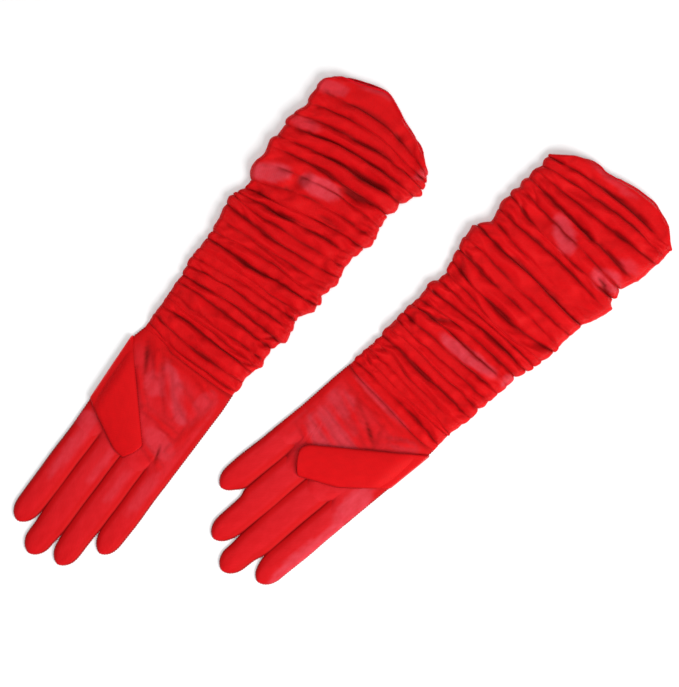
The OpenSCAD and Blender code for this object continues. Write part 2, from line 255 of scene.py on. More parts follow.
class GloveStageSettings(bpy.types.PropertyGroup):
    turn: bpy.props.FloatProperty(
        name="Camera turn", description="How far the pair is turned in the picture", subtype="ANGLE",
        default=math.radians(42))
    distance: bpy.props.FloatProperty(
        name="Camera height", description="Height of the camera over the table", unit="LENGTH",
        min=0.5, max=5, default=2.0)
    width: bpy.props.FloatProperty(
        name="Table seen", description="Long side of the table that the camera sees", unit="LENGTH",
        min=0.3, max=2, default=0.5496)


# ---------- The laid glove's own frame ----------
class Laid:
    """Turns (t, v, z) of a glove, or of a finger from its root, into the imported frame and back."""

    def __init__(self, joint, thumb_side):
        axis = np.array(JOINTS[joint]["axis"][:2])
        self.at = np.array(JOINTS[joint]["pos_m"][:2])
        self.v = np.array((-axis[1], axis[0]))
        self.t = axis * thumb_side

    def out(self, points):
        p = np.asarray(points, float)
        xy = self.at + p[..., 0:1] * self.t + p[..., 1:2] * self.v
        return np.concatenate([xy, p[..., 2:3]], axis=-1)

    def back(self, points):
        p = np.asarray(points, float)
        d = p[..., :2] - self.at
        return np.stack([d @ self.t, d @ self.v, p[..., 2]], axis=-1)


def glove_frame(glove):
    """t, v and z from the middle of a glove's wrist."""
    return Laid(glove + "_wrist_fold", THUMB_SIDE[glove])


def finger_frame(glove, finger):
    """t, v and z from a finger's root."""
    return Laid(f"{glove}_{finger}_curl", THUMB_SIDE[glove])


def corners_of(node, laid):
    """A CAD node's corners in a laid frame."""
    return laid.back([v.co for v in frame["nodes"][node].data.vertices])


def cut(node, laid, along, value):
    """Lowest and highest t where a CAD node crosses v = value (along 1), or v at t = value (along 0)."""
    co = corners_of(node, laid)
    edges = np.array([e.vertices[:] for e in frame["nodes"][node].data.edges])
    a, b = co[edges[:, 0]], co[edges[:, 1]]
    da, db = a[:, along] - value, b[:, along] - value
    hit = da * db < 0
    share = da[hit] / (da[hit] - db[hit])
    other = a[hit, 1 - along] + share * (b[hit, 1 - along] - a[hit, 1 - along])
    return float(other.min()), float(other.max())


def smooth(x):
    """A soft step from 0 at x = 0 to 1 at x = 1."""
    x = np.clip(x, 0, 1)
    return x * x * (3 - 2 * x)


def waver(x, y, seed):
    """Smooth noise from -1 to 1 at every place of two arrays. Each seed gives another pattern."""
    shape = np.broadcast(x, y).shape
    xs, ys = np.broadcast_to(x, shape).ravel(), np.broadcast_to(y, shape).ravel()
    return np.array([noise.noise(Vector((a, b, seed * 7.31))) for a, b in zip(xs, ys)]).reshape(shape)


def in_ellipse(t, v, mid_t, mid_v, half_t, half_v, tilt):
    """A place measured along the two axes of a tilted ellipse, in its half sizes (mm, degrees)."""
    a = math.radians(tilt)
    dt, dv = t / MM - mid_t, v / MM - mid_v
    return (dt * math.cos(a) + dv * math.sin(a)) / half_t, (dv * math.cos(a) - dt * math.sin(a)) / half_v


def sheerness(glove, t, v):
    """How sheer the mesh is at a place, from 0 to 1."""
    most = np.zeros(np.broadcast(t, v).shape)
    for *ellipse, strength in SHEER[glove]:
        x, y = in_ellipse(t, v, *ellipse)
        r = np.sqrt(x * x + y * y) + 0.22 * waver(t / (9 * MM), v / (6 * MM), 3)
        most = np.maximum(most, strength * smooth((1.15 - r) / 0.35))
    return most


# ---------- Meshes ----------
# Points closer than WELD become one, and faces thinner than THINNEST go
WELD = 0.02 * MM
THINNEST = 0.001 * MM
# Anything smaller counts as nothing
TINY = 1e-12


def piece(name, patches, material, subdivide=1):
    """Welds patches into one mesh.

    A patch is points (r x c x 3), uv (r x c x 2), how sheer and how deep in a fold or in painted
    shade (each r x c or one value), and whether the columns close into a ring.
    """
    points, faces, uvs, sheer, deep = [], [], [], [], []
    for p, uv, (s, d), closed in patches:
        rows, cols = p.shape[:2]
        base = len(points)
        points += p.reshape(-1, 3).tolist()
        sheer += np.broadcast_to(s, (rows, cols)).ravel().tolist()
        deep += np.broadcast_to(d, (rows, cols)).ravel().tolist()
        step = uv[:, 1:2] - uv[:, 0:1] if closed else None
        wide = np.concatenate([uv, uv[:, -1:] + abs(step)], axis=1) if closed else uv
        for r in range(rows - 1):
            for c in range(cols if closed else cols - 1):
                n = (c + 1) % cols
                ring = ((r, c, c), (r, n, c + 1), (r + 1, n, c + 1), (r + 1, c, c))
                faces.append([base + a * cols + b for a, b, _ in ring])
                uvs.append([tuple(wide[a, k]) for a, _, k in ring])
    mesh = bpy.data.meshes.new(name)
    mesh.from_pydata(points, [], faces)
    layer = mesh.uv_layers.new(name="cloth")
    layer.uv.foreach_set("vector", np.array(uvs, np.float32).ravel())
    for label, values in (("sheer", sheer), ("deep", deep)):
        mesh.attributes.new(label, "FLOAT", "POINT").data.foreach_set("value", np.array(values, np.float32))
    return finish_mesh(name, mesh, material, subdivide)


def finish_mesh(name, mesh, material, subdivide):
    """Welds a mesh, turns its faces outward and puts it in the scene, subdivided for smoothness."""
    bm = bmesh.new()
    bm.from_mesh(mesh)
    bmesh.ops.remove_doubles(bm, verts=bm.verts, dist=WELD)
    bmesh.ops.dissolve_degenerate(bm, edges=bm.edges, dist=THINNEST)
    bmesh.ops.recalc_face_normals(bm, faces=bm.faces)
    bm.to_mesh(mesh)
    bm.free()
    mesh.shade_smooth()
    mesh.materials.append(material)
    ob = bpy.data.objects.new(name, mesh)
    bpy.context.scene.collection.objects.link(ob)
    if subdivide:
        m = ob.modifiers.new("Smooth", "SUBSURF")
        m.levels = m.render_levels = subdivide
    return ob


def tube(name, line, radius, material, closed=False, sides=8):
    """A round tube along a line of points."""
    line = np.asarray(line, float)
    ahead = np.roll(line, -1, 0) - np.roll(line, 1, 0)
    if not closed:
        ahead[0], ahead[-1] = line[1] - line[0], line[-1] - line[-2]
    ahead /= np.linalg.norm(ahead, axis=1)[:, None] + TINY
    side = np.cross(ahead, (0, 0, 1))
    side /= np.linalg.norm(side, axis=1)[:, None] + TINY
    up = np.cross(side, ahead)
    a = np.linspace(0, 2 * math.pi, sides, endpoint=False)[:, None, None]
    rings = line + radius * (np.cos(a) * side + np.sin(a) * up)
    far = np.concatenate([[0], np.cumsum(np.linalg.norm(np.diff(line, axis=0), axis=1))])
    if closed:
        rings = np.concatenate([rings, rings[:, :1]], axis=1)
        far = np.append(far, far[-1] + np.linalg.norm(line[0] - line[-1]))
    p = np.concatenate([rings, rings[:1]], axis=0)
    round_it = np.linspace(0, 2 * math.pi * radius, sides + 1)[:, None]
    uv = np.stack(np.broadcast_arrays(far, round_it), axis=-1)
    if not closed:
        p = np.concatenate([np.broadcast_to(line[0], (sides + 1, 1, 3)), p,
                            np.broadcast_to(line[-1], (sides + 1, 1, 3))], axis=1)
        uv = np.concatenate([uv[:, :1], uv, uv[:, -1:]], axis=1)
    return piece(name, [(p, uv, (0.0, 0.0), False)], material, 0)


def loop(over, under):
    """One closed row: the upper side across, then the lower side back without its two ends."""
    return np.concatenate([over, under[-2:0:-1]])


def loop_rows(upper, lower):
    """Two layers, row by row, as closed rows."""
    return np.stack([loop(over, under) for over, under in zip(upper, lower)])


def raised(line, z):
    """A flat line (n x 2) lifted to the height z."""
    return np.column_stack([line, np.full(len(line), z)])


def closed_cloth(name, laid, points, uv, sheer, deep):
    """A piece of mesh cloth from rows that each close into a ring."""
    patch = (laid.out(np.array(points)), np.array(uv), (np.array(sheer), np.array(deep)), True)
    return piece(name, [patch], MATERIALS["mesh"])


def strip(lines, heights):
    """A patch between lines that run side by side: each line (n x 2) with its own height."""
    points = []
    for line, z in zip(lines, heights):
        z = np.broadcast_to(z, (len(line), 1)) if np.ndim(z) < 1 else np.reshape(z, (-1, 1))
        points.append(np.concatenate([line, z], 1))
    far = np.concatenate([[0], np.cumsum(np.linalg.norm(np.diff(lines[0], axis=0), axis=1))])
    uv = np.stack(np.broadcast_arrays(np.arange(len(lines))[None, :] * 1.5 * MM, far[:, None]), axis=-1)
    return np.stack(points, axis=1), uv


# How far inside an edge its seam allowance or its tape starts
SEAM_IN = 0.5 * MM
TAPE_IN = 1.0 * MM
# How far the middle and the inner side of an allowance or a tape lie above its outer side
SEAM_RISE = (0.5 * MM, 0.35 * MM)
THUMB_SEAM_RISE = (0.5 * MM, 0.3 * MM)
TAPE_RISE = (0.3 * MM, 0.0)


def band(laid, edge_at, z, start, w, rise):
    """A band of width w along an edge. edge_at(inset) gives the edge moved inward."""
    lines = [edge_at(inset) for inset in (start, start + w / 2, start + w)]
    p, uv = strip(lines, (z, z + rise[0], z + rise[1]))
    return laid.out(p), uv, (0.0, 0.0), False


def seam_patch(laid, edge_at, z, rise=SEAM_RISE):
    """A sewn allowance along an edge."""
    return band(laid, edge_at, z, SEAM_IN, bpy.context.scene.glove_sewing.seam_w, rise)


# ---------- Hand ----------
# Heights of the laid hand: its edges, its palm, its fingers and its underside
EDGE_Z = 1.5 * MM
HAND_TOP = 4.3 * MM
FINGER_TOP = 4.6 * MM
UNDER_Z = 0.35 * MM
HAND_ROWS = 46
FINGER_COLS = 12
WEB_COLS = 2
# The hand's edges are read off the CAD palm at these distances from the wrist
HAND_AT = (0.5 * MM, 14 * MM, 50 * MM)
# The hand's cloth takes the fingers' shape over this distance from their roots
ROOT_BLEND = 17 * MM
# A seam's allowance shows darker through the cloth for this far in, and fades over the next
ALLOWANCE_SEEN = 3.6 * MM
ALLOWANCE_FADE = 1.2 * MM


def dome(x, low, high, flat=3.0):
    """Height from low at the edges (x = -1 and 1) to high in the middle, flatter as flat grows."""
    return low + (high - low) * (1 - np.clip(np.abs(x), 0, 1) ** flat) ** 0.6


def finger_x():
    """Places across a finger, from its little-finger side (-1) to its thumb side (1)."""
    return -np.cos(np.linspace(0, math.pi, FINGER_COLS + 1))


def finger_section(x):
    """Heights of a finger's upper and lower sides at places across it."""
    return dome(x, EDGE_Z, FINGER_TOP, 2.2), dome(x, EDGE_Z, UNDER_Z, 4.0)


def finger_size(glove, finger):
    """Half width and length of a CAD finger."""
    co = corners_of(f"{glove}_{finger}_palm", finger_frame(glove, finger))
    return co[:, 0].max(), co[:, 1].max()


def hand_columns(glove):
    """The row of finger roots, from the little-finger side.

    It gives t, v, the place across its finger (-1 to 1), and the finger's number or -1 between two.
    """
    laid = glove_frame(glove)
    t, v, x, owner = [], [], [], []
    for i in (3, 2, 1, 0):
        half, _ = finger_size(glove, FINGERS[i])
        root = finger_frame(glove, FINGERS[i]).out([(a * half, 0, 0) for a in finger_x()])
        co = laid.back(root)
        if t:
            for k in range(1, WEB_COLS):
                share = k / WEB_COLS
                t.append(t[-1] + (co[0, 0] - t[-1]) * share)
                v.append(v[-1] + (co[0, 1] - v[-1]) * share)
                x.append(1.0)
                owner.append(-1)
        t += co[:, 0].tolist()
        v += co[:, 1].tolist()
        x += finger_x().tolist()
        owner += [i] * (FINGER_COLS + 1)
    return np.array(t), np.array(v), np.array(x), np.array(owner)


def hand_edges(glove):
    """t of both edges of the hand at the wrist, heel and palm, in order of v."""
    laid = glove_frame(glove)
    lo, hi = zip(*[cut(glove + "_palm_panel", laid, 1, v) for v in HAND_AT])
    return [0.0, *HAND_AT[1:]], list(lo), list(hi)


def hand_place(glove, share):
    """t, v and place across (-1 to 1) of a row at a share of the way from the wrist to the roots."""
    t, v, _, _ = hand_columns(glove)
    vs, lo, hi = hand_edges(glove)
    s = (t - t[0]) / (t[-1] - t[0])
    low = np.interp(share * v[0], vs + [v[0]], lo + [t[0]])
    high = np.interp(share * v[-1], vs + [v[-1]], hi + [t[-1]])
    return low + s * (high - low), share * v, 2 * s - 1


def crumple(glove, t, v):
    """Height of the wrinkles of a laid palm, where their ridges are and how deep their creases are, which is
    painted as shade.
    """
    z, ridge, crease = 0.0, 0.0 * t, 0.0 * t
    for t0, v0, t1, v1, w, h in WRINKLES[glove]:
        a, d = np.array((t0, v0)), np.array((t1 - t0, v1 - v0))
        along = np.clip(((t / MM - a[0]) * d[0] + (v / MM - a[1]) * d[1]) / (d @ d), 0, 1)
        off = np.hypot(t / MM - a[0] - along * d[0], v / MM - a[1] - along * d[1])
        off += 0.8 * waver(t / (7 * MM), v / (7 * MM), 5)
        here = np.exp(-((off / w) ** 2)) * (0.35 + 0.65 * np.sin(math.pi * np.clip(along, 0.05, 0.95)))
        z = z + 1.3 * h * MM * here
        if h > 0:
            # The crease value is painted shade: a line beside each ridge where its shadow falls, and along
            # each crease
            ridge = np.maximum(ridge, here)
            crease = np.maximum(crease, 0.6 * np.exp(-(((off - 1.6 * w) / (0.5 * w)) ** 2)) * here ** 0.2)
        else:
            crease = np.maximum(crease, 1.6 * -h * here)
    z = z + 0.35 * MM * waver(t / (16 * MM), v / (11 * MM), 8)
    return z + 0.14 * MM * waver(t / (5 * MM), v / (4 * MM), 9), ridge, crease


def hand_grid(glove, share):
    """One row of the hand: t, v, upper and lower heights, how sheer and how deep, which also carries painted
    shade.
    """
    t, v, x = hand_place(glove, share)
    _, root_v, fx, owner = hand_columns(glove)
    near = smooth(1 - (root_v - v) / ROOT_BLEND)
    top, under = (np.where(owner >= 0, side, EDGE_Z) for side in finger_section(fx))
    soft = smooth(v / (7 * MM)) * (1 - near) * (1 - np.abs(x) ** 6)
    wrinkle, ridge, crease = crumple(glove, t, v)
    up = dome(x, EDGE_Z, HAND_TOP) * (1 - near) + top * near + wrinkle * soft
    down = dome(x, EDGE_Z, UNDER_Z, 6.0) * (1 - near) + under * near
    # Between two fingers the cloth is painted dark as shade where they meet, over the web's extra layers;
    # over the allowances a little deeper for their real double layer, and at the edges for their rolled
    # layers and painted shade
    between = np.where(owner >= 0, np.abs(fx) ** 10, 1.0) * smooth(1 - (root_v - v) / (9 * MM))
    between = between * (np.abs(x) < 0.98)
    inside = (1 - np.abs(x)) * (t[-1] - t[0]) / 2
    allowance = 1 - smooth((inside - ALLOWANCE_SEEN) / ALLOWANCE_FADE)
    patchy = 0.8 + 0.6 * waver(t / (14 * MM), v / (14 * MM), 15)
    thin = 0.26 * smooth((v - 6 * MM) / (14 * MM)) * (1 - allowance) * patchy
    sheer = np.maximum(sheerness(glove, t, v), thin) * (1 - 0.9 * ridge)
    deep = np.maximum(crease * soft, 0.8 * between)
    edge = np.maximum(0.16 * allowance, 0.5 * smooth((np.abs(x) - 0.95) / 0.05))
    deep = np.maximum(deep, edge * (1 - sheer))
    # The shadow of the sleeve's first fold
    wrist = under_lip(glove, t) * (1 - smooth((v - 1.5 * MM) / (4 * MM)))
    shade = (0.62 + 0.5 * waver(t / (12 * MM), v / (30 * MM), 16)) * wrist
    return t, v, up, down, sheer, np.maximum(deep, shade)


def under_lip(glove, t):
    """1 where the sleeve's first fold hangs over the hand, fading to 0 where it doesn't."""
    return smooth((LIP_END[glove] * MM - t) / (16 * MM))


def hand_cloth(glove):
    """The hand's tube of mesh from the wrist to the finger roots."""
    points, uv, sheer, deep = [], [], [], []
    for share in 1 - (1 - np.linspace(0, 1, HAND_ROWS + 1)) ** 1.15:
        t, v, up, down, see_through, dark = hand_grid(glove, share)
        points.append(loop(np.stack([t, v, up], 1), np.stack([t, v, down], 1)))
        uv.append(np.stack([loop(t, 2 * t[-1] - t), loop(v, v)], 1))
        sheer.append(loop(see_through, see_through))
        deep.append(loop(dark, dark))
    return closed_cloth(glove + "_hand_cloth", glove_frame(glove), points, uv, sheer, deep)


# ---------- Fingers ----------
# Length of a finger's rounded tip, and how far its cloth reaches into the hand
TIP = 16 * MM
ROOT_TUCK = 5.0 * MM
BODY_ROWS = 25
TIP_ROWS = 12
# The most that a finger fills out towards its neighbour
MOST_SPREAD = 6.5 * MM
SWAY_SEED = {"right": 11, "left": 12}


def finger_rows(length):
    """v and share of the half width for each row of a finger, from inside the hand to its almond tip."""
    body = np.concatenate([[-ROOT_TUCK], np.linspace(0, length - TIP, BODY_ROWS)])
    turn = np.sin(np.radians(np.linspace(0, 90, TIP_ROWS + 1)[1:]))
    widths = np.concatenate([np.ones(len(body)), (1 - turn ** 2.3) ** 0.6])
    return np.concatenate([body, length - TIP + TIP * turn]), widths


def finger_sides(glove, i, v):
    """Half widths of a finger at v, on its little-finger side and its thumb side.

    Near their roots, laid fingers fill out until they touch.
    """
    half, length = finger_size(glove, FINGERS[i])
    here = finger_frame(glove, FINGERS[i])
    slim = half * (1 - 0.04 * smooth((v - 0.5 * length) / (0.4 * length)))
    sides = []
    for side, k in ((-1, i + 1), (1, i - 1)):
        wide = slim
        if 0 <= k < len(FINGERS):
            half_k, length_k = finger_size(glove, FINGERS[k])
            line = np.stack([side * half + 0 * v, v, 0 * v], 1)
            near = finger_frame(glove, FINGERS[k]).back(here.out(line))
            up_finger = np.maximum(v / length, near[:, 1] / length_k)
            meet = smooth((near[:, 1] + 22 * MM) / (5 * MM)) * (1 - smooth((up_finger - 0.72) / 0.2))
            wide = slim + np.clip((np.abs(near[:, 0]) - half_k) / 2 + 0.5 * MM, 0, MOST_SPREAD) * meet
        sides.append(wide)
    return sides


def sway(glove, i, v, share):
    """How far a finger's middle line wanders sideways at v."""
    return 0.5 * MM * waver(v / (24 * MM), i * 3.3, SWAY_SEED[glove]) * smooth(v / (14 * MM)) * share


def finger_cloth(glove, i):
    """A finger's tube of mesh, from inside the hand to its tip."""
    finger = FINGERS[i]
    laid = finger_frame(glove, finger)
    length = finger_size(glove, finger)[1]
    x = finger_x()
    points, uv, sheer, deep = [], [], [], []
    allowance = smooth((np.abs(x) - 0.64) / 0.08)
    # The allowances show a little darker for their double layer, and the edges get painted shade over their
    # rolled layers
    edge_layers_and_shade = np.maximum(0.16 * allowance, 0.9 * smooth((np.abs(x) - 0.88) / 0.12))
    rows_v, shares = finger_rows(length)
    for v, share, lo, hi in zip(rows_v, shares, *finger_sides(glove, i, rows_v)):
        w = np.where(x < 0, lo, hi) * max(share, 1e-4)
        start = smooth(v / (14 * MM))
        t = x * w + sway(glove, i, v, share)
        puff = 0.28 * MM * waver(x * 1.4, v / (12 * MM) + 5 * i, 13) * start * share
        puff += 0.5 * MM * waver(x * 0.7, v / (30 * MM) + 5 * i, 14) * start * share
        tall = share ** 0.5 * (0.6 if v < 0 else 1.0)
        high, low = finger_section(x)
        up = EDGE_Z + (high - EDGE_Z + puff * (1 - x ** 4)) * tall
        down = EDGE_Z + (low - EDGE_Z) * tall
        row_v = np.full_like(t, v)
        over = np.stack([t, row_v, up], 1)
        points.append(loop(over, np.stack([t, row_v, down], 1)))
        uv.append(np.stack([loop(t, 2 * t[-1] - t), loop(row_v, row_v)], 1))
        on_glove = glove_frame(glove).back(laid.out(over))
        see_through = sheerness(glove, on_glove[:, 0], on_glove[:, 1])
        see_through = np.maximum(see_through, (0.22 - 0.16 * v / length) * (1 - allowance))
        sheer.append(loop(see_through, see_through))
        dark = edge_layers_and_shade * (1 - see_through)
        deep.append(loop(dark, dark))
    return closed_cloth(f"{glove}_{finger}_cloth", laid, points, uv, sheer, deep)


def finger_outline(glove, i, inset):
    """The finger's edge from its thumb side round the tip to its little-finger side, moved in by inset."""
    v, share = finger_rows(finger_size(glove, FINGERS[i])[1])
    lo, hi = finger_sides(glove, i, v)
    bend = sway(glove, i, v, share)
    thumb_side = np.stack([hi * share + bend, v], 1)
    little_side = np.stack([bend - lo * share, v], 1)
    line = np.concatenate([thumb_side, little_side[-2::-1]])
    return line + leftward(line) * inset


def leftward(line):
    """The direction to the left of a line's run at each of its points."""
    ahead = np.gradient(line, axis=0)
    ahead /= np.linalg.norm(ahead, axis=1)[:, None] + TINY
    return np.stack([-ahead[:, 1], ahead[:, 0]], 1)


def finger_seam(glove, i):
    """The seam allowance inside a finger's edge, round its tip."""
    patch = seam_patch(finger_frame(glove, FINGERS[i]), lambda inset: finger_outline(glove, i, inset), EDGE_Z)
    return piece(f"{glove}_{FINGERS[i]}_seam_tape", [patch], MATERIALS["seam"], 0)


# ---------- Thumb ----------
# How far the middle of a thumb's end stands out past its two corners
END_BULGE = 1.2 * MM
THUMB_ROWS = 30
# Heights of the folded thumb: its underside, its top and its seam
THUMB_UNDER = 6.0 * MM
THUMB_TOP = 8.8 * MM
THUMB_MID = 0.5 * (THUMB_UNDER + THUMB_TOP) - 0.9 * MM
# Rows over which the thumb's cloth comes down into the palm's edge
CREASE_ROWS = 5


def thumb_outline(glove):
    """The folded thumb's lower and upper edges from the crease to the tip, in the glove's frame.

    The CAD outline is cut at the thumb's end, which gets its corners and a slight bulge there.
    """
    laid = glove_frame(glove)
    co = corners_of(glove + "_thumb_over", laid)[:, :2]
    pivot = laid.back([JOINTS[glove + "_thumb_open"]["pos_m"]])[0, :2]
    corners = np.array(THUMB_CORNERS[glove]) * MM
    end = corners[1] - corners[0]
    beyond = np.array((end[1], -end[0])) / np.linalg.norm(end)
    if (pivot - corners[0]) @ beyond > 0:
        beyond = -beyond
    co = co[(co - corners[0]) @ beyond < 0]
    point = corners[0] + end / 2 + END_BULGE * beyond
    known = np.unique(np.round(np.concatenate([co, corners, [point]]), 6), axis=0)
    hull = convex([tuple(p) for p in known])
    axis = np.array(JOINTS[glove + "_thumb_open"]["axis"][:2])
    along = np.array((axis @ laid.t, axis @ laid.v))
    off = [abs((np.array(p) - pivot) @ np.array((-along[1], along[0]))) for p in hull]
    low, high = sorted(np.argsort(off)[:2], key=lambda k: hull[k][1])
    n = len(hull)
    tip = int(np.argmax([(np.array(p) - corners[0]) @ beyond for p in hull]))

    def walk(a, b):
        """The way round the outline from a to b that misses the other end of the crease."""
        for step in (1, -1):
            k, path = a, [a]
            while k != b:
                k = (k + step) % n
                path.append(k)
            if (low if a == high else high) not in path:
                return np.array([hull[q] for q in path])

    return even(walk(low, tip), THUMB_ROWS), even(walk(high, tip), THUMB_ROWS)


def convex(points):
    """The convex outline of some points, in order."""
    points = sorted(points)

    def half(ps):
        out = []
        for p in ps:
            while len(out) > 1 and ((out[-1][0] - out[-2][0]) * (p[1] - out[-2][1])
                                    - (out[-1][1] - out[-2][1]) * (p[0] - out[-2][0])) <= TINY:
                out.pop()
            out.append(p)
        return out[:-1]

    return half(points) + half(points[::-1])


def even(line, n):
    """n points spread along a line, closer together towards its end."""
    far = np.concatenate([[0], np.cumsum(np.linalg.norm(np.diff(line, axis=0), axis=1))])
    at = far[-1] * (1 - (1 - np.linspace(0, 1, n)) ** 1.35)
    return np.stack([np.interp(at, far, line[:, k]) for k in range(2)], 1)


def thumb_cloth(glove):
    """The thumb's tube of mesh, folded across the palm."""
    low, high = thumb_outline(glove)
    x = finger_x()
    s = (x + 1) / 2
    points, uv, deep = [], [], []
    far = 0.0
    for r in range(THUMB_ROWS):
        mid = low[r] + (high[r] - low[r]) * s[:, None]
        share = r / (THUMB_ROWS - 1)
        width = np.linalg.norm(high[r] - low[r])
        tall = min(1.0, width / (14 * MM)) ** 0.6 if r < THUMB_ROWS - 1 else 0.0
        start = smooth(share / 0.12)
        wr = 0.45 * MM * waver(mid[:, 0] / (13 * MM), mid[:, 1] / (8 * MM), 21) * start
        wr += 0.3 * MM * waver((mid[:, 0] + mid[:, 1]) / (20 * MM), (mid[:, 1] - mid[:, 0]) / (5 * MM), 22)
        up = THUMB_MID + (dome(x, 0, THUMB_TOP - THUMB_MID, 2.6) + wr * (1 - x ** 4)) * tall
        down = THUMB_MID + dome(x, 0, THUMB_UNDER - THUMB_MID, 4.0) * tall
        over = mid.copy()
        if r < CREASE_ROWS:
            drop = (1 - r / CREASE_ROWS) ** 2
            up = up * (1 - drop) + (EDGE_Z + 0.5 * MM) * drop
            down = down * (1 - 0.8 * drop) + 4.0 * MM * 0.8 * drop
            over[:, 0] -= 1.2 * MM * drop
        points.append(loop(np.column_stack([over, up]), np.column_stack([mid, down])))
        if r:
            far += np.linalg.norm((low[r] + high[r]) / 2 - (low[r - 1] + high[r - 1]) / 2)
        u = x * width / 2
        uv.append(np.stack([loop(u, 2 * u[-1] - u), np.full(2 * len(x) - 2, far)], 1))
        # Painted shade along the thumb's two edges, over their rolled layers
        dark = 0.6 * smooth((np.abs(x) - 0.93) / 0.07) * start
        deep.append(loop(dark, dark))
    return closed_cloth(glove + "_thumb_cloth", glove_frame(glove), points, uv, 0.0, deep)


def thumb_line(glove, inset):
    """The thumb's edge from the lower end of its crease round the tip to the upper end, moved in by inset."""
    low, high = thumb_outline(glove)
    line = np.concatenate([low[CREASE_ROWS + 1:], high[-2:CREASE_ROWS:-1]])
    inward = leftward(line)
    centre = line.mean(0)
    if ((centre - line) * inward).sum() < 0:
        inward = -inward
    return line + inward * inset


def thumb_seam(glove):
    """The seam allowance inside the thumb's edge, round its tip."""
    laid = glove_frame(glove)
    patch = seam_patch(laid, lambda inset: thumb_line(glove, inset), THUMB_MID, THUMB_SEAM_RISE)
    return piece(glove + "_thumb_seam_tape", [patch], MATERIALS["seam"], 0)


def hand_sides(glove, shares):
    """The hand's little-finger edge and its thumb edge, at shares of the way from wrist to roots."""
    rows = [hand_place(glove, share) for share in shares]
    return [np.array([(t[col], v[col]) for t, v, _ in rows]) for col in (0, -1)]


def hand_seams(glove):
    """The seam allowances inside the hand's two edges."""
    laid, patches = glove_frame(glove), []
    for edge, inward in zip(hand_sides(glove, np.linspace(0, 1, 34)), (1, -1)):
        patches.append(seam_patch(laid, lambda inset: edge + (inward * inset, 0), EDGE_Z))
    return piece(glove + "_hand_seam_tapes", patches, MATERIALS["seam"], 0)


# ---------- Sleeve ----------
ROWS_PER_FOLD = 7
SLEEVE_COLS = 36
# Each fold's noise has its own pattern on each glove
SLEEVE_SEED = {"right": 31, "left": 57}
# Heights down the sleeve of its upper layer and of its seams (both mm)
SLEEVE_TOP = ((0, HAND_TOP / MM), (14, 7.5), (60, 8.5), (130, 10.0), (200, 12.0), (262, 10.0))
SLEEVE_RIM = ((0, EDGE_Z / MM), (20, 2.8), (130, 4.2), (262, 4.5))
# Rows of the fold that hangs over the hand: how far each reaches over it, and lifts (mm)
LIP_ROWS = ((1, 2.4, 2.0), (2, 2.6, 3.4), (3, 1.6, 3.6), (4, 0.6, 2.6), (5, 0.1, 1.2))
# The mouth's last rows, and how far each is drawn in at its two corners (mm)
CORNER_ROWS = ((-1, 5.5), (-2, 3.0), (-3, 1.5), (-4, 0.7), (-5, 0.3))
# The mouth's line is averaged over these steps across (mm)
MOUTH_STEPS = (-5, -2.5, 0, 2.5, 5)
# The CAD sleeve is cut here, just before its cuff
CUFF_AT = -231 * MM
# The cloth is settled ten times as large, because Blender's cloth is steadier at that size
SIM_SCALE = 10.0
# Spare length along the sleeve, and the pull across it from seam to seam
SLACK = 1.08
TAUT = 0.97
SETTLE_STEPS = 12
# Rows at the mouth whose seams aren't held while the cloth settles
FREE_ROWS = 5
# How far the cloth is let go from its laid folds to its settled ones
SETTLED = 0.55
# Rows to each side that a sunken place is compared with
SUNKEN_REACH = 5


def through(a, m, b, x):
    """A smooth curve through three values at x = -1, 0 and 1."""
    return m + (b - a) / 2 * x + ((a + b) / 2 - m) * x * x


def sleeve_ends(glove):
    """t of both edges of the sleeve, at the wrist and just before the cuff."""
    _, wrist_lo, wrist_hi = hand_edges(glove)
    return (wrist_lo[0], wrist_hi[0]), cut(f"{glove}_upper_back", glove_frame(glove), 1, CUFF_AT)


def fold_lines(glove, x):
    """v of each fold line at places across the sleeve, and how deep it is there (0 to 1).

    The wrist comes first and the mouth last.
    """
    seed = SLEEVE_SEED[glove]
    v, deep = [np.zeros_like(x)], [np.full_like(x, 0.9)]
    for k, (lo, mid, hi, deep_lo, deep_mid, deep_hi) in enumerate(FOLDS[glove]):
        line = -through(lo, mid, hi, x) * MM
        line += 1.3 * MM * waver(x * 2.1, k * 3.7, seed) * smooth(-line / (20 * MM))
        line += 0.5 * MM * waver(x * 6.5, k * 2.9, seed + 1)
        v.append(np.minimum(line, v[-1] - 1.5 * MM))
        depth = through(deep_lo, deep_mid, deep_hi, x) * (0.85 + 0.5 * waver(x * 2.7, k * 5.1, seed + 2))
        deep.append(np.clip(depth, 0.05, 1.0))
    _, (lo, hi) = sleeve_ends(glove)
    t = lo + (x + 1) / 2 * (hi - lo)
    mouth_t, mouth_v = np.array(MOUTH[glove]).T * MM
    mouth = sum(np.interp(t + step * MM, mouth_t, mouth_v) for step in MOUTH_STEPS) / len(MOUTH_STEPS)
    mouth += 0.7 * MM * waver(x * 4.5, 0.5, seed + 14)
    v.append(np.minimum(mouth + 3 * MM * np.abs(x) ** 9, v[-1] - 2 * MM))
    deep.append(np.full_like(x, 0.35))
    return np.array(v), np.array(deep)


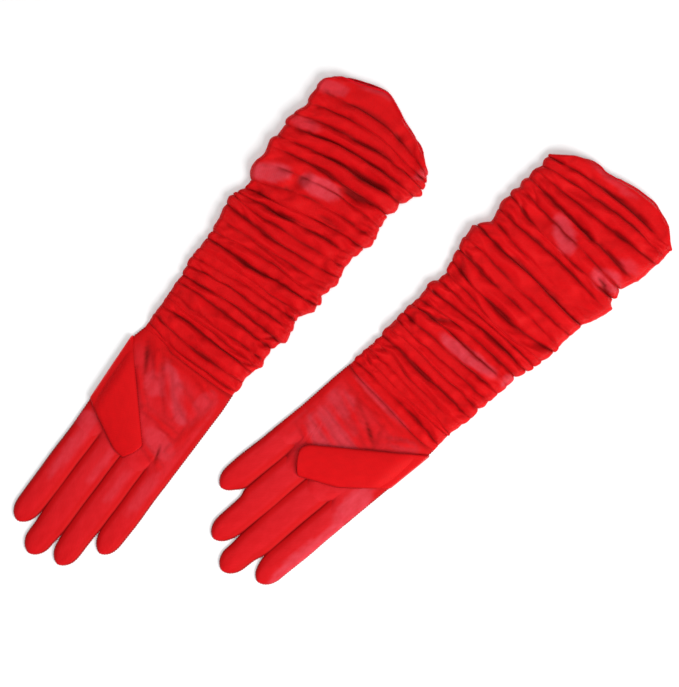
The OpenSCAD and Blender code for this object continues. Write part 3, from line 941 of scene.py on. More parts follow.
def fold_rows(lines, deep, x, seed):
    """The rows of a folded layer: v, how far each stands up, and its place from crease to crest."""
    folds = bpy.context.scene.glove_folds
    rows_v, rise, crest = [], [], []
    for k in range(len(lines) - 1):
        gap = lines[k] - lines[k + 1]
        tall = np.minimum(folds.fold_h * gap, folds.fold_most)
        for r in range(ROWS_PER_FOLD):
            f = r / ROWS_PER_FOLD
            side = deep[k] if f < 0.5 else deep[k + 1]
            shift = f - 0.92 * side * math.sin(2 * math.pi * f) / (2 * math.pi)
            high = 1 - deep[k] * max(0.0, 1 - 2 * f) ** 1.9 - deep[k + 1] * max(0.0, 2 * f - 1) ** 1.9
            lean = 0.16 * gap * waver(x * 1.1, k * 1.9, seed + 4) * math.sin(math.pi * f) ** 2
            rows_v.append(lines[k] - gap * shift + lean)
            rise.append(tall * high)
            crest.append(high)
    rows_v.append(lines[-1])
    rise.append(rise[-1] * 0.6)
    crest.append(crest[-1])
    return np.array(rows_v), np.array(rise), np.array(crest)


def sleeve_sides(glove, side_v, crest, fade):
    """t of the sleeve's two sides at each row. Each fold puffs out past the seam."""
    seed = SLEEVE_SEED[glove]
    (down_lo, out_lo), (down_hi, out_hi) = (np.array(side).T * MM for side in SIDES[glove])
    lo_t = -np.interp(-side_v[:, 0], down_lo, out_lo)
    hi_t = np.interp(-side_v[:, 1], down_hi, out_hi)
    (lo_t[0], hi_t[0]), _ = sleeve_ends(glove)
    big = smooth(-side_v / (120 * MM)) * 0.65 + 0.35
    fold_no = np.arange(len(side_v))[:, None] // ROWS_PER_FOLD
    some = np.clip(0.75 + 1.1 * waver(fold_no * 1.37, np.array([[0.5, 8.5]]), seed + 5), 0.1, 1.5)
    puff = bpy.context.scene.glove_folds.puff
    bulge = (crest - 0.55) * puff * 2 * big * smooth(-side_v / (8 * MM)) * some
    rough = np.stack([a * MM * waver(side_v[:, q] / (b * MM), q * 9.0, seed + 6)
                      for q, a, b in ((0, 2.2, 5.2), (1, 0.9, 3.6))], 1) * fade
    lo_t = lo_t - bulge[:, 0] - rough[:, 0] + 0.5 * MM * fade[:, 0]
    hi_t = hi_t + bulge[:, 1] + rough[:, 1] - 0.5 * MM * fade[:, 1]
    for row, pull in CORNER_ROWS:
        lo_t[row] += pull * MM
        hi_t[row] -= pull * MM
    return lo_t, hi_t


def down_sleeve(table, v):
    """A value from a table of (distance down the sleeve, value), both mm, for each row."""
    down, value = np.array(table).T * MM
    return np.interp(-v.mean(1), down, value)[:, None]


def upper_heights(glove, x, t, v, rise, rim):
    """Heights of the upper layer: its dome, its folds, its small waves, its puckers and its hollows."""
    seed = SLEEVE_SEED[glove]
    fade = smooth(-v / (7 * MM))
    middle = 1 - np.abs(x) ** 6
    z = dome(x, 0, 1, 3.0) * (down_sleeve(SLEEVE_TOP, v) - rim) + rim
    z += 1.4 * MM * waver(t / (34 * MM), v / (26 * MM), seed + 8) * fade * middle
    z += rise * (1 - 0.55 * np.abs(x) ** 5) * fade
    z += 0.45 * MM * waver(t / (30 * MM), v / (3.2 * MM), seed + 9) * fade * middle
    z += 0.30 * MM * waver(t / (9 * MM), v / (4.5 * MM), seed + 10) * fade * middle
    beside = smooth((np.abs(x) - 0.66) / 0.2) * (1 - np.abs(x) ** 12)
    pucker = np.sin(2 * math.pi * (v / (6.4 * MM) + 0.8 * waver(x * 4, v / (9 * MM), seed + 11)))
    z += bpy.context.scene.glove_folds.pucker * pucker * beside * fade * np.where(x < 0, 1.0, 0.45)
    for *ellipse, sink in HOLLOWS[glove]:
        a, b = in_ellipse(t, v, *ellipse)
        z -= sink * MM * np.exp(-(a ** 2 + b ** 2))
    return np.maximum(z, rim * 0.6 + 0.8 * MM)


def sleeve_grid(glove):
    """Both layers of a ruched sleeve: rows x columns x 3 in the glove's frame.

    It also gives each point's place from crease (0) to crest (1).
    """
    even_x = np.linspace(-1, 1, SLEEVE_COLS + 1)
    x = 0.75 * even_x + 0.25 * np.sin(even_x * math.pi / 2)
    s = (x + 1) / 2
    seed = SLEEVE_SEED[glove]
    lines, deep = fold_lines(glove, x)
    up_v, rise, crest = fold_rows(lines, deep, x, seed)
    low_crest = fold_rows(lines, 0.6 * deep + 0.1, x, seed)[2]
    xs = np.broadcast_to(x, up_v.shape)
    side_v = up_v[:, [0, -1]]
    fade = smooth(-up_v / (7 * MM))
    middle = 1 - np.abs(xs) ** 6
    lo_t, hi_t = sleeve_sides(glove, side_v, crest[:, [0, -1]], fade[:, [0, -1]])
    t = lo_t[:, None] + s * (hi_t - lo_t)[:, None]
    rim = down_sleeve(SLEEVE_RIM, up_v)
    z = upper_heights(glove, xs, t, up_v, rise, rim)
    lip = under_lip(glove, t) * middle
    for row, over, lift in LIP_ROWS:
        up_v[row] += over * MM * lip[row]
        z[row] += lift * MM * lip[row]
    low = rim + (UNDER_Z - rim) * (1 - np.abs(xs) ** 7) ** 0.6
    low = low + 1.2 * MM * (1 - low_crest) * middle * fade
    low += 0.5 * MM * np.maximum(0, waver(t / (22 * MM), up_v / (5 * MM), seed + 12)) * middle * fade
    # The lower layer's folds run straight across between the same two seams
    mid_v = side_v[:, :1] + (side_v[:, 1:] - side_v[:, :1]) * s
    down = np.linspace(0, 1, len(mid_v))
    mix = smooth(down * 6 - 5)[:, None]
    low_v = mid_v * (1 - mix) + up_v * mix
    # At the mouth, the upper layer stops a little short and wavers
    step, where = MOUTH_STEP[glove]
    last = smooth(down * 12 - 11)[:, None]
    up_v = up_v + step * MM * last * np.exp(-(((x - where) / 0.38) ** 2)) * (1 - x ** 8)
    z += 1.6 * MM * last * waver(xs * 2.2, 0.5, seed + 13) * middle
    z -= 1.5 * MM * last * middle
    for heights in (z, low):
        heights[:, 0] = heights[:, -1] = rim[:, 0]
    return np.stack([t, up_v, z], -1), np.stack([t, low_v, low], -1), crest


def sunken(layer):
    """How deep each point of a folded layer lies between its neighbours along the sleeve (0 to 1), painted as
    shade in the hollows.
    """
    z = layer[..., 2]
    mean = np.zeros_like(z)
    for step in range(-SUNKEN_REACH, SUNKEN_REACH + 1):
        rows = np.clip(np.arange(len(z)) + step, 0, len(z) - 1)
        mean += z[rows] / (2 * SUNKEN_REACH + 1)
    return smooth((mean - z - 0.25 * MM) / (2.0 * MM))


def settle(ring):
    """Lets the gathered tube buckle, touch itself and lie down on the table, with its seams held."""
    rows, cols = ring.shape[:2]
    mesh = bpy.data.meshes.new("settling")
    faces = [(r * cols + c, r * cols + (c + 1) % cols, (r + 1) * cols + (c + 1) % cols, (r + 1) * cols + c)
             for r in range(rows - 1) for c in range(cols)]
    mesh.from_pydata((ring.reshape(-1, 3) * SIM_SCALE).tolist(), [], faces)
    ob = bpy.data.objects.new("settling", mesh)
    bpy.context.scene.collection.objects.link(ob)
    ob.shape_key_add(name="Laid")
    slack = ob.shape_key_add(name="Slack")
    slack.data.foreach_set("co", (ring * (TAUT, SLACK, SLACK) * SIM_SCALE).ravel())
    held = ob.vertex_groups.new(name="Held")
    pins = [r * cols + c for r in range(rows - FREE_ROWS) for c in (0, SLEEVE_COLS)] + list(range(cols))
    held.add(pins, 1.0, "REPLACE")
    cloth = ob.modifiers.new("Cloth", "CLOTH")
    fabric = cloth.settings
    fabric.quality = 5
    fabric.mass = 0.12
    fabric.air_damping = 1.0
    fabric.tension_stiffness = fabric.compression_stiffness = 12
    fabric.shear_stiffness = 3
    fabric.bending_stiffness = 0.12
    fabric.tension_damping = fabric.compression_damping = fabric.shear_damping = 5
    fabric.bending_damping = 0.3
    fabric.vertex_group_mass = "Held"
    fabric.rest_shape_key = slack
    touch = cloth.collision_settings
    touch.distance_min = 0.008
    touch.use_self_collision = True
    touch.self_distance_min = 0.006
    touch.self_friction = 3
    touch.friction = 8
    touch.collision_quality = 2
    floor_mesh = bpy.data.meshes.new("settling_floor")
    floor_mesh.from_pydata([(-4, -5, 0), (4, -5, 0), (4, 3, 0), (-4, 3, 0)], [], [(0, 1, 2, 3)])
    floor = bpy.data.objects.new("settling_floor", floor_mesh)
    bpy.context.scene.collection.objects.link(floor)
    floor.modifiers.new("Collision", "COLLISION")
    floor.collision.thickness_outer = 0.004
    bpy.context.view_layer.update()
    for step in range(1, SETTLE_STEPS + 1):
        bpy.context.scene.frame_set(step)
    ready = ob.evaluated_get(bpy.context.evaluated_depsgraph_get())
    out = np.zeros(rows * cols * 3)
    ready.data.vertices.foreach_get("co", out)
    for done in (ob, floor):
        bpy.data.objects.remove(done)
    bpy.context.scene.frame_set(1)
    out = ring + SETTLED * (out.reshape(rows, cols, 3) / SIM_SCALE - ring)
    out[..., 2] = np.maximum(out[..., 2], UNDER_Z)
    return out


def sleeve_pieces(glove):
    """The sleeve's cloth in three pieces, then its two layers and the rows where the pieces meet."""
    laid = glove_frame(glove)
    upper, lower, crest = sleeve_grid(glove)
    ring = settle(loop_rows(upper, lower))
    upper = ring[:, :SLEEVE_COLS + 1]
    lower = np.concatenate([ring[:, :1], ring[:, :SLEEVE_COLS - 1:-1]], axis=1)
    # The cloth's own length along the sleeve, so that the knit isn't stretched over the folds
    steps = np.linalg.norm(np.diff(upper, axis=0), axis=2).mean(1)
    far = np.concatenate([[0], np.cumsum(steps)])
    t = upper[:, :, 0]
    u = loop_rows(t, 2 * t[:, -1:] - t)
    uv = np.stack([u, np.broadcast_to(-far[:, None], u.shape)], -1)
    sheer = sheerness(glove, upper[..., 0], upper[..., 1]) * smooth((crest - 0.5) / 0.25)
    sheer = loop_rows(sheer, sheerness(glove, lower[..., 0], lower[..., 1]))
    # Painted shade in the creases and hollows, where layers also pile up: full on the upper layer, faint on
    # the lower
    deep = np.maximum(sunken(upper), 0.9 * (1 - crest) ** 1.6)
    deep = loop_rows(deep, 0.3 * sunken(lower))
    a, b = (k * ROWS_PER_FOLD for k in ELBOW_FOLDS[glove])
    made = []
    for name, lo, hi in (("forearm", 0, a), ("elbow", a, b), ("upper", b, len(ring) - 1)):
        rows = slice(lo, hi + 1)
        patch = (laid.out(ring[rows]), uv[rows], (sheer[rows], deep[rows]), True)
        ob = piece(f"{glove}_{name}_ruching", [patch], MATERIALS["mesh"], 2)
        ob["cloth_length"] = float(far[hi] - far[lo])
        made.append(ob)
    return made, (upper, lower, a, b)


def tapes(glove, name, upper, lo, hi):
    """The elastic gathered into both side seams, over some rows of the sleeve."""
    laid, patches = glove_frame(glove), []
    for col, inward in ((0, 1), (-1, -1)):
        edge = upper[lo:hi + 1, col]
        patches.append(band(laid, lambda inset: edge[:, :2] + (inward * inset, 0), edge[:, 2], TAPE_IN,
                            bpy.context.scene.glove_sewing.tape_w, TAPE_RISE))
    return piece(f"{glove}_{name}_elastics", patches, MATERIALS["elastic"], 0)


# ---------- Repeated stitches (Geometry Nodes) ----------
# Half length and half thickness of a running stitch, and its distance from the cloth's edge
STITCH_LONG = 0.9 * MM
STITCH_THICK = 0.36 * MM
STITCH_IN = 0.1 * MM
# An overlock loop's thread, and how far the loop stands off the hem
LOOP_THREAD = 0.16 * MM
LOOP_ROOM = 0.12 * MM
STITCH_SEED = 4


def thread_tree(name, loops):
    """A tree that sews along a line: flat stitches in it, or loops round it."""
    tree = bpy.data.node_groups.new(name, "GeometryNodeTree")
    face = tree.interface
    face.new_socket("Geometry", in_out="INPUT", socket_type="NodeSocketGeometry")
    for label, value in (("Spacing", 0.002), ("Reach", 0.0007), ("Thread", 0.0002)):
        socket = face.new_socket(label, in_out="INPUT", socket_type="NodeSocketFloat")
        socket.default_value = value
        socket.subtype = "DISTANCE"
    face.new_socket("Material", in_out="INPUT", socket_type="NodeSocketMaterial")
    seed = face.new_socket("Seed", in_out="INPUT", socket_type="NodeSocketInt")
    seed.default_value = STITCH_SEED
    face.new_socket("Geometry", in_out="OUTPUT", socket_type="NodeSocketGeometry")
    nodes, link = tree.nodes, tree.links.new
    start, end = nodes.new("NodeGroupInput"), nodes.new("NodeGroupOutput")
    line = nodes.new("GeometryNodeMeshToCurve")
    points = nodes.new("GeometryNodeCurveToPoints")
    points.mode = "LENGTH"
    put = nodes.new("GeometryNodeInstanceOnPoints")
    link(start.outputs["Geometry"], line.inputs["Mesh"])
    link(line.outputs["Curve"], points.inputs["Curve"])
    link(start.outputs["Spacing"], points.inputs["Length"])
    link(points.outputs["Points"], put.inputs["Points"])
    link(points.outputs["Rotation"], put.inputs["Rotation"])
    size = nodes.new("FunctionNodeRandomValue")
    size.data_type = "FLOAT"
    size.inputs[2].default_value, size.inputs[3].default_value = 0.86, 1.1
    link(start.outputs["Seed"], size.inputs["Seed"])
    if loops:
        round_it = nodes.new("GeometryNodeCurvePrimitiveCircle")
        round_it.inputs["Resolution"].default_value = 8
        link(start.outputs["Reach"], round_it.inputs["Radius"])
        section = nodes.new("GeometryNodeCurvePrimitiveCircle")
        section.inputs["Resolution"].default_value = 4
        link(start.outputs["Thread"], section.inputs["Radius"])
        shape = nodes.new("GeometryNodeCurveToMesh")
        link(round_it.outputs["Curve"], shape.inputs["Curve"])
        link(section.outputs["Curve"], shape.inputs["Profile Curve"])
        link(shape.outputs["Mesh"], put.inputs["Instance"])
        link(size.outputs[1], put.inputs["Scale"])
    else:
        bead = nodes.new("GeometryNodeMeshUVSphere")
        bead.inputs["Segments"].default_value = 6
        bead.inputs["Rings"].default_value = 4
        bead.inputs["Radius"].default_value = 1.0
        link(bead.outputs["Mesh"], put.inputs["Instance"])
        scale = nodes.new("ShaderNodeCombineXYZ")
        long = nodes.new("ShaderNodeMath")
        long.operation = "MULTIPLY"
        link(start.outputs["Reach"], long.inputs[0])
        link(size.outputs[1], long.inputs[1])
        link(start.outputs["Thread"], scale.inputs["X"])
        link(start.outputs["Thread"], scale.inputs["Y"])
        link(long.outputs["Value"], scale.inputs["Z"])
        link(scale.outputs["Vector"], put.inputs["Scale"])
    real, paint = nodes.new("GeometryNodeRealizeInstances"), nodes.new("GeometryNodeSetMaterial")
    link(put.outputs["Instances"], real.inputs["Geometry"])
    link(real.outputs["Geometry"], paint.inputs["Geometry"])
    link(start.outputs["Material"], paint.inputs["Material"])
    link(paint.outputs["Geometry"], end.inputs["Geometry"])
    return tree


def sew(name, tree, lines, closed, spacing, reach, thread, material="thread"):
    """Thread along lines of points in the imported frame, as one plain mesh."""
    points, edges = [], []
    for line in lines:
        base = len(points)
        points += [tuple(p) for p in line]
        edges += [(base + k, base + k + 1) for k in range(len(line) - 1)]
        if closed:
            edges.append((base + len(line) - 1, base))
    mesh = bpy.data.meshes.new(name + "_line")
    mesh.from_pydata(points, edges, [])
    ob = bpy.data.objects.new(name + "_line", mesh)
    bpy.context.scene.collection.objects.link(ob)
    m = ob.modifiers.new("Thread", "NODES")
    m.node_group = tree
    ids = {i.name: i.identifier for i in tree.interface.items_tree if i.in_out == "INPUT"}
    m[ids["Spacing"]], m[ids["Reach"]], m[ids["Thread"]] = spacing, reach, thread
    m[ids["Material"]], m[ids["Seed"]] = MATERIALS[material], STITCH_SEED
    bpy.context.view_layer.update()
    ready = bpy.data.meshes.new_from_object(ob.evaluated_get(bpy.context.evaluated_depsgraph_get()))
    bpy.data.objects.remove(ob)
    ready.name = name
    ready.materials.clear()
    ready.materials.append(MATERIALS[material])
    made = bpy.data.objects.new(name, ready)
    bpy.context.scene.collection.objects.link(made)
    return made


def running_stitches(name, laid, edges, z):
    """Running stitches along flat edges of a laid frame, at the height z."""
    lines = [laid.out(raised(edge, z)) for edge in edges]
    gap = bpy.context.scene.glove_sewing.stitch_gap
    return sew(name, MATERIALS["stitches"], lines, False, gap, STITCH_LONG, STITCH_THICK)


# ---------- Materials ----------
MATERIALS = {}


def feed(tree, value, socket):
    """Puts a fixed value or another socket into a socket."""
    if isinstance(value, bpy.types.NodeSocket):
        tree.links.new(value, socket)
    else:
        socket.default_value = value


def maths(tree):
    """Gives calc(operation, inputs), which adds a Math node to the tree and gives its output."""
    def calc(operation, *values):
        node = tree.nodes.new("ShaderNodeMath")
        node.operation = operation
        for k, value in enumerate(values):
            feed(tree, value, node.inputs[k])
        return node.outputs[0]

    return calc


def mix(tree, factor, a, b):
    """A blend from colour a to colour b."""
    node = tree.nodes.new("ShaderNodeMix")
    node.data_type = "RGBA"
    for label, value in (("Factor", factor), ("A", a), ("B", b)):
        feed(tree, value, node.inputs[label])
    return node.outputs["Result"]


def shade(colour, share=1.0):
    """A colour made darker or lighter, with its alpha."""
    return (*[c * share for c in colour], 1)


def bump(tree, shader, height, strength, distance):
    """Raises a shader's surface by a height."""
    node = tree.nodes.new("ShaderNodeBump")
    node.inputs["Strength"].default_value = strength
    node.inputs["Distance"].default_value = distance
    tree.links.new(height, node.inputs["Height"])
    tree.links.new(node.outputs["Normal"], shader.inputs["Normal"])


def attribute(tree, label):
    """How strong one of the mesh's own values is."""
    node = tree.nodes.new("ShaderNodeAttribute")
    node.attribute_name = label
    return node.outputs["Fac"]


def knitted(tree, knit, pitch, place):
    """The outputs of the knit's group at a place on the cloth."""
    node = tree.nodes.new("ShaderNodeGroup")
    node.node_tree = knit
    node.inputs["Pitch"].default_value = pitch
    tree.links.new(place, node.inputs["UV"])
    return node.outputs


def new_material(name):
    """A material, its node tree and its shader."""
    material = bpy.data.materials.new(name)
    material.use_nodes = True
    return material, material.node_tree, material.node_tree.nodes["Principled BSDF"]


def knit_group():
    """Knit of a fine power mesh: rows, columns and the slanting lines between them."""
    tree = bpy.data.node_groups.new("Mesh knit", "ShaderNodeTree")
    for label, kind, value in (("UV", "NodeSocketVector", None), ("Pitch", "NodeSocketFloat", 0.0011)):
        socket = tree.interface.new_socket(label, in_out="INPUT", socket_type=kind)
        if value:
            socket.default_value = value
    for label in ("Height", "Holes", "Slub"):
        tree.interface.new_socket(label, in_out="OUTPUT", socket_type="NodeSocketFloat")
    nodes, link, calc = tree.nodes, tree.links.new, maths(tree)
    start, end = nodes.new("NodeGroupInput"), nodes.new("NodeGroupOutput")
    split = nodes.new("ShaderNodeSeparateXYZ")
    link(start.outputs["UV"], split.inputs[0])
    per = calc("DIVIDE", 2 * math.pi, start.outputs["Pitch"])
    across, along = calc("MULTIPLY", split.outputs[0], per), calc("MULTIPLY", split.outputs[1], per)
    wales, courses = calc("SINE", across), calc("SINE", along)
    slant = calc("SINE", calc("MULTIPLY", calc("ADD", across, along), 0.36))
    net = calc("MULTIPLY", wales, courses)
    height = calc("ADD", calc("MULTIPLY", net, 0.5), calc("MULTIPLY", slant, 0.35))
    link(calc("MULTIPLY_ADD", height, 0.5, 0.5), end.inputs["Height"])
    link(calc("MULTIPLY_ADD", calc("MULTIPLY", net, slant), 0.5, 0.5), end.inputs["Holes"])
    slub = nodes.new("ShaderNodeTexNoise")
    slub.inputs["Scale"].default_value = 160
    slub.inputs["Detail"].default_value = 3
    stretch = nodes.new("ShaderNodeVectorMath")
    stretch.operation = "MULTIPLY"
    stretch.inputs[1].default_value = (1.1, 0.6, 1.0)
    link(start.outputs["UV"], stretch.inputs[0])
    link(stretch.outputs[0], slub.inputs["Vector"])
    link(slub.outputs[0], end.inputs["Slub"])
    return tree


def mesh_material(knit):
    """The glove's mesh: paler where it is stretched, and deeper where layers lie together and where shade is
    painted into folds, creases and edges.
    """
    cloth = bpy.context.scene.glove_cloth
    material, tree, shader = new_material("Red power mesh")
    link, calc = tree.links.new, maths(tree)
    uv = tree.nodes.new("ShaderNodeUVMap")
    uv.uv_map = "cloth"
    knit_of = knitted(tree, knit, cloth.pitch, uv.outputs[0])
    height, holes, slub = (knit_of[label] for label in ("Height", "Holes", "Slub"))
    sheer, deep = attribute(tree, "sheer"), attribute(tree, "deep")
    # Colour: deeper between the threads and in the thicker streaks
    streaks = calc("ADD", calc("MULTIPLY", slub, 0.9), calc("MULTIPLY", height, 0.3))
    colour = mix(tree, streaks, shade(cloth.colour, 0.86), shade(cloth.colour))
    # Paler where it is stretched
    patchy = calc("MULTIPLY", sheer, calc("MULTIPLY_ADD", slub, 1.1, 0.22))
    colour = mix(tree, calc("MINIMUM", patchy, 1.0), colour, shade(cloth.sheer_colour))
    # Where it lies down between two folds, several layers together are a deeper red; the same mask also
    # paints shade there, in creases, between fingers, along edges and under the sleeve's first fold
    colour = mix(tree, calc("MULTIPLY", deep, 0.97), colour, shade(cloth.colour, 0.22))
    link(colour, shader.inputs["Base Color"])
    # How much it hides: less in its holes and where it is stretched, more where it is folded
    cover = calc("MULTIPLY_ADD", sheer, cloth.sheer_cover - cloth.cover, cloth.cover)
    cover = calc("ADD", cover, calc("MULTIPLY_ADD", holes, 0.16, -0.08))
    cover = calc("ADD", cover, calc("MULTIPLY_ADD", slub, 0.12, -0.06))
    cover = calc("ADD", cover, calc("MULTIPLY", deep, 0.15))
    link(calc("MINIMUM", cover, 1.0), shader.inputs["Alpha"])
    link(calc("MULTIPLY_ADD", slub, 0.16, 0.46), shader.inputs["Roughness"])
    relief = calc("ADD", calc("MULTIPLY", height, 0.55), calc("MULTIPLY", slub, 0.9))
    bump(tree, shader, relief, 0.35, 0.4 * MM)
    shader.inputs["Specular IOR Level"].default_value = 0.28
    shader.inputs["Specular Tint"].default_value = (1.0, 0.22, 0.20, 1)
    shader.inputs["Sheen Weight"].default_value = 0.22
    shader.inputs["Sheen Roughness"].default_value = 0.45
    shader.inputs["Sheen Tint"].default_value = (1.0, 0.10, 0.09, 1)
    return material


def thread_material(name, knit, tone, cover, pitch, rough):
    """Thread, tape or sewn allowance: the thread's colour made darker or lighter by tone."""
    material, tree, shader = new_material(name)
    place = tree.nodes.new("ShaderNodeTexCoord")
    knit_of = knitted(tree, knit, pitch, place.outputs["Object"])
    thread = bpy.context.scene.glove_sewing.thread
    colour = mix(tree, knit_of["Slub"], shade(thread, tone * 0.7), shade(thread, tone * 1.25))
    tree.links.new(colour, shader.inputs["Base Color"])
    bump(tree, shader, knit_of["Height"], 0.4, 0.3 * MM)
    shader.inputs["Alpha"].default_value = cover
    shader.inputs["Roughness"].default_value = rough
    shader.inputs["Specular IOR Level"].default_value = 0.2
    shader.inputs["Specular Tint"].default_value = (1.0, 0.3, 0.28, 1)
    return material


def table_material():
    """The white table: two near whites that drift into each other."""
    material, tree, shader = new_material("White table")
    place = tree.nodes.new("ShaderNodeTexCoord")
    grain = tree.nodes.new("ShaderNodeTexNoise")
    grain.inputs["Scale"].default_value = 2.0
    tree.links.new(place.outputs["Object"], grain.inputs["Vector"])
    colour = mix(tree, grain.outputs[0], (0.93, 0.93, 0.935, 1), (0.96, 0.96, 0.96, 1))
    tree.links.new(colour, shader.inputs["Base Color"])
    shader.inputs["Roughness"].default_value = 0.9
    shader.inputs["Specular IOR Level"].default_value = 0.1
    return material


# ---------- Operators ----------
# Lengths past a wrist and a finger's root, where the operators find points that nothing uses
WRIST_BEND = 9 * MM
FINGER_BEND = 22 * MM
# A place down the upper sleeve, near its cuff, where the sleeves operator finds a point that nothing uses
CUFF_STRETCH_END = -232 * MM
TABLE_HALF = 6.0
# Where the camera aims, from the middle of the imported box
AIM = Vector((0.003, 0.020, 0))


class GLOVES_OT_cloth(bpy.types.Operator):
    """Dyes the mesh, the seams and the thread"""
    bl_idname = "gloves.cloth"
    bl_label = "Dye the cloth"

    def execute(self, context):
        knit = knit_group()
        MATERIALS["mesh"] = mesh_material(knit)
        MATERIALS["seam"] = thread_material("Seam allowance", knit, 2.3, 0.85, 0.0009, 0.7)
        MATERIALS["elastic"] = thread_material("Covered elastic", knit, 2.2, 1.0, 0.0007, 0.6)
        MATERIALS["thread"] = thread_material("Overlock thread", knit, 0.9, 1.0, 0.0006, 0.5)
        MATERIALS["stitches"] = thread_tree("Running stitches", False)
        MATERIALS["loops"] = thread_tree("Overlock loops", True)
        return {"FINISHED"}


class GLOVES_OT_hands(bpy.types.Operator):
    """Cuts and sews both hands, from the wrists to the finger roots"""
    bl_idname = "gloves.hands"
    bl_label = "Sew the hands"

    def execute(self, context):
        for glove in GLOVES:
            laid = glove_frame(glove)
            a, b = Vector(laid.out((0, 0, EDGE_Z))), Vector(laid.out((0, WRIST_BEND, EDGE_Z)))
            cloth = hand_cloth(glove)
            seams = hand_seams(glove)
            edges = hand_sides(glove, np.linspace(0.004, 0.995, 60))
            stitches = running_stitches(glove + "_hand_stitches", laid, edges, EDGE_Z)
            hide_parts(glove + "_back_panel", glove + "_palm_panel")
            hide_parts(glove + "_hand_side_seams")
            for ob in (cloth, seams, stitches):
                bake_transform(ob)
        return {"FINISHED"}


class GLOVES_OT_fingers(bpy.types.Operator):
    """Cuts and sews the eight fingers"""
    bl_idname = "gloves.fingers"
    bl_label = "Sew the fingers"

    def execute(self, context):
        for glove in GLOVES:
            for i, finger in enumerate(FINGERS):
                laid = finger_frame(glove, finger)
                half, length = finger_size(glove, finger)
                cloth, seam = finger_cloth(glove, i), finger_seam(glove, i)
                edges = [finger_outline(glove, i, STITCH_IN)]
                stitches = running_stitches(f"{glove}_{finger}_stitches", laid, edges, EDGE_Z)
                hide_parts(f"{glove}_{finger}_back", f"{glove}_{finger}_palm")
                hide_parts(f"{glove}_{finger}_seam")
                for ob in (cloth, seam, stitches):
                    Vector(laid.out((0, 0, EDGE_Z)))
                    Vector(laid.out((0, FINGER_BEND, EDGE_Z)))
                    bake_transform(ob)
        return {"FINISHED"}


class GLOVES_OT_thumbs(bpy.types.Operator):
    """Cuts and sews the two thumbs that are folded over the palms"""
    bl_idname = "gloves.thumbs"
    bl_label = "Sew the thumbs"

    def execute(self, context):
        for glove in GLOVES:
            laid = glove_frame(glove)
            cloth, seam = thumb_cloth(glove), thumb_seam(glove)
            edges = [thumb_line(glove, STITCH_IN)]
            stitches = running_stitches(glove + "_thumb_stitches", laid, edges, THUMB_MID)
            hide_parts(glove + "_thumb_under", glove + "_thumb_over")
            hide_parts(glove + "_thumb_seam")
            joint = JOINTS[glove + "_thumb_open"]
            start = Vector(joint["pos_m"])
            inward = Vector(joint["axis"]).cross(Vector((0, 0, 1)))
            low, high = thumb_outline(glove)
            if inward.dot(Vector(laid.out((*low[-1], THUMB_UNDER))) - start) < 0:
                inward = -inward
            for ob in (cloth, seam, stitches):
                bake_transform(ob)
        return {"FINISHED"}


class GLOVES_OT_sleeves(bpy.types.Operator):
    """Gathers the two sleeves onto their elastics and hems them"""
    bl_idname = "gloves.sleeves"
    bl_label = "Ruche the sleeves"

    def execute(self, context):
        sewing = context.scene.glove_sewing
        for glove in GLOVES:
            laid = glove_frame(glove)
            made, (upper, lower, a, b) = sleeve_pieces(glove)
            last = len(upper) - 1
            spans = (("forearm", 0, a), ("elbow", a, b), ("upper", b, last))
            bands = [tapes(glove, name, upper, lo, hi) for name, lo, hi in spans]
            mouth = laid.out(loop(upper[-1], lower[-1]))
            hem = tube(glove + "_hem", mouth, sewing.hem_r, MATERIALS["seam"], closed=True)
            loops = sew(glove + "_hem_overlock", MATERIALS["loops"], [mouth], True,
                        sewing.stitch_gap * 0.9, sewing.hem_r + LOOP_ROOM, LOOP_THREAD, "seam")
            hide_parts(glove + "_forearm_back", glove + "_forearm_front")
            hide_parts(glove + "_upper_back", glove + "_upper_front")
            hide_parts(glove + "_cuff_back", glove + "_cuff_front")
            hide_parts(glove + "_forearm_thumb_elastic", glove + "_forearm_little_elastic")
            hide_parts(glove + "_upper_thumb_elastic", glove + "_upper_little_elastic")
            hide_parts(glove + "_cuff_side_seams")
            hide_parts(glove + "_cuff_hem")
            for ob in made:
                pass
            for ob in (made[0], bands[0]):
                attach(ob, glove + "_forearm")
            start = float(upper[a, :, 1].min()) - MM
            end = float(upper[b, :, 1].max()) + MM
            for ob in (made[1], bands[1]):
                Vector(laid.out((0, start, 0)))
                Vector(laid.out((0, end, 0)))
                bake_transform(ob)
            start = float(upper[b, :, 1].min()) - MM
            for ob in (made[2], bands[2], hem, loops):
                Vector(laid.out((0, start, 0)))
                Vector(laid.out((0, CUFF_STRETCH_END, 0)))
                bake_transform(ob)
            for ob, band, (lo, hi) in zip(made, bands, ((0, a), (a, b), (b, last))):
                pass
        return {"FINISHED"}


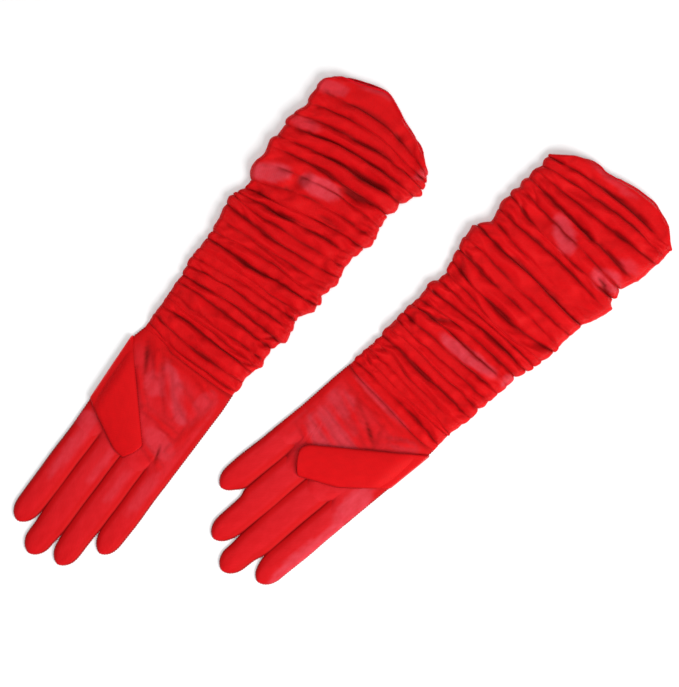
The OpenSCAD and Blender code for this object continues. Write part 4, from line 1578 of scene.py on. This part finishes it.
class GLOVES_OT_stage(bpy.types.Operator):
    """Sets the white table, the soft studio light and the camera above it"""
    bl_idname = "gloves.stage"
    bl_label = "Set the stage"

    def execute(self, context):
        scene, stage = context.scene, context.scene.glove_stage
        scene.view_settings.view_transform = "Standard"
        mesh = bpy.data.meshes.new("table_top")
        r = TABLE_HALF
        mesh.from_pydata([(-r, -r, 0), (r, -r, 0), (r, r, 0), (-r, r, 0)], [], [(0, 1, 2, 3)])
        mesh.materials.append(table_material())
        table = bpy.data.objects.new("table_top", mesh)
        scene.collection.objects.link(table)
        middle = Vector(((CAD_BOX[0][0] + CAD_BOX[1][0]) / 2, (CAD_BOX[0][1] + CAD_BOX[1][1]) / 2, 0))
        middle += AIM
        camera = bpy.data.cameras.new("camera")
        camera.sensor_width = 36
        camera.lens = 36 * stage.distance / stage.width
        ob = bpy.data.objects.new("camera", camera)
        ob.location = middle + Vector((0, 0, stage.distance))
        ob.rotation_euler = (0, 0, stage.turn)
        scene.collection.objects.link(ob)
        scene.camera = ob
        # Each lamp: name, where it hangs from the middle, size and power
        right = Vector((math.cos(stage.turn), math.sin(stage.turn), 0))
        down = Vector((math.sin(stage.turn), -math.cos(stage.turn), 0))
        for name, place, size, power in (
            ("key", right * 0.9 + down * 0.9 + Vector((0, 0, 1.0)), 1.2, 30.0),
            ("fill", -right * 0.9 + down * 0.1 + Vector((0, 0, 1.6)), 1.4, 4.0),
            ("top", -down * 0.5 + Vector((0, 0, 2.2)), 1.2, 13.5),
        ):
            light = bpy.data.lights.new(name, "AREA")
            light.shape, light.size, light.energy = "DISK", size, power
            lamp = bpy.data.objects.new(name, light)
            lamp.location = middle + place
            lamp.rotation_euler = (middle - lamp.location).to_track_quat("-Z", "Y").to_euler()
            scene.collection.objects.link(lamp)
        world = bpy.data.worlds.new("studio")
        world.use_nodes = True
        world.node_tree.nodes["Background"].inputs["Color"].default_value = (1, 1, 1, 1)
        world.node_tree.nodes["Background"].inputs["Strength"].default_value = 0.36
        scene.world = world
        return {"FINISHED"}


class GLOVES_PT_panel(bpy.types.Panel):
    """Lists the steps that make the pair"""
    bl_idname = "GLOVES_PT_panel"
    bl_label = "Opera gloves"
    bl_space_type = "VIEW_3D"
    bl_region_type = "UI"
    bl_category = "Gloves"

    def draw(self, context):
        scene = context.scene
        for settings in (scene.glove_cloth, scene.glove_sewing, scene.glove_folds, scene.glove_stage):
            for name in settings.__annotations__:
                self.layout.prop(settings, name)
        for operator in STEPS:
            self.layout.operator(operator.bl_idname)


SETTINGS = (
    ("glove_cloth", GloveClothSettings),
    ("glove_sewing", GloveSewingSettings),
    ("glove_folds", GloveFoldSettings),
    ("glove_stage", GloveStageSettings),
)
STEPS = (
    GLOVES_OT_stage,
    GLOVES_OT_cloth,
    GLOVES_OT_sleeves,
    GLOVES_OT_hands,
    GLOVES_OT_fingers,
    GLOVES_OT_thumbs,
)


def register():
    """Adds the settings, the operators and the panel."""
    for name, group in SETTINGS:
        bpy.utils.register_class(group)
        setattr(bpy.types.Scene, name, bpy.props.PointerProperty(type=group))
    for operator in STEPS:
        bpy.utils.register_class(operator)
    bpy.utils.register_class(GLOVES_PT_panel)


def unregister():
    """Takes away what register added."""
    bpy.utils.unregister_class(GLOVES_PT_panel)
    for operator in reversed(STEPS):
        bpy.utils.unregister_class(operator)
    for name, group in reversed(SETTINGS):
        delattr(bpy.types.Scene, name)
        bpy.utils.unregister_class(group)


def main():
    """Builds the pair."""
    register()
    bpy.ops.gloves.stage()
    bpy.ops.gloves.cloth()
    bpy.ops.gloves.sleeves()
    bpy.ops.gloves.hands()
    bpy.ops.gloves.fingers()
    bpy.ops.gloves.thumbs()


if __name__ == "__main__":
    main()
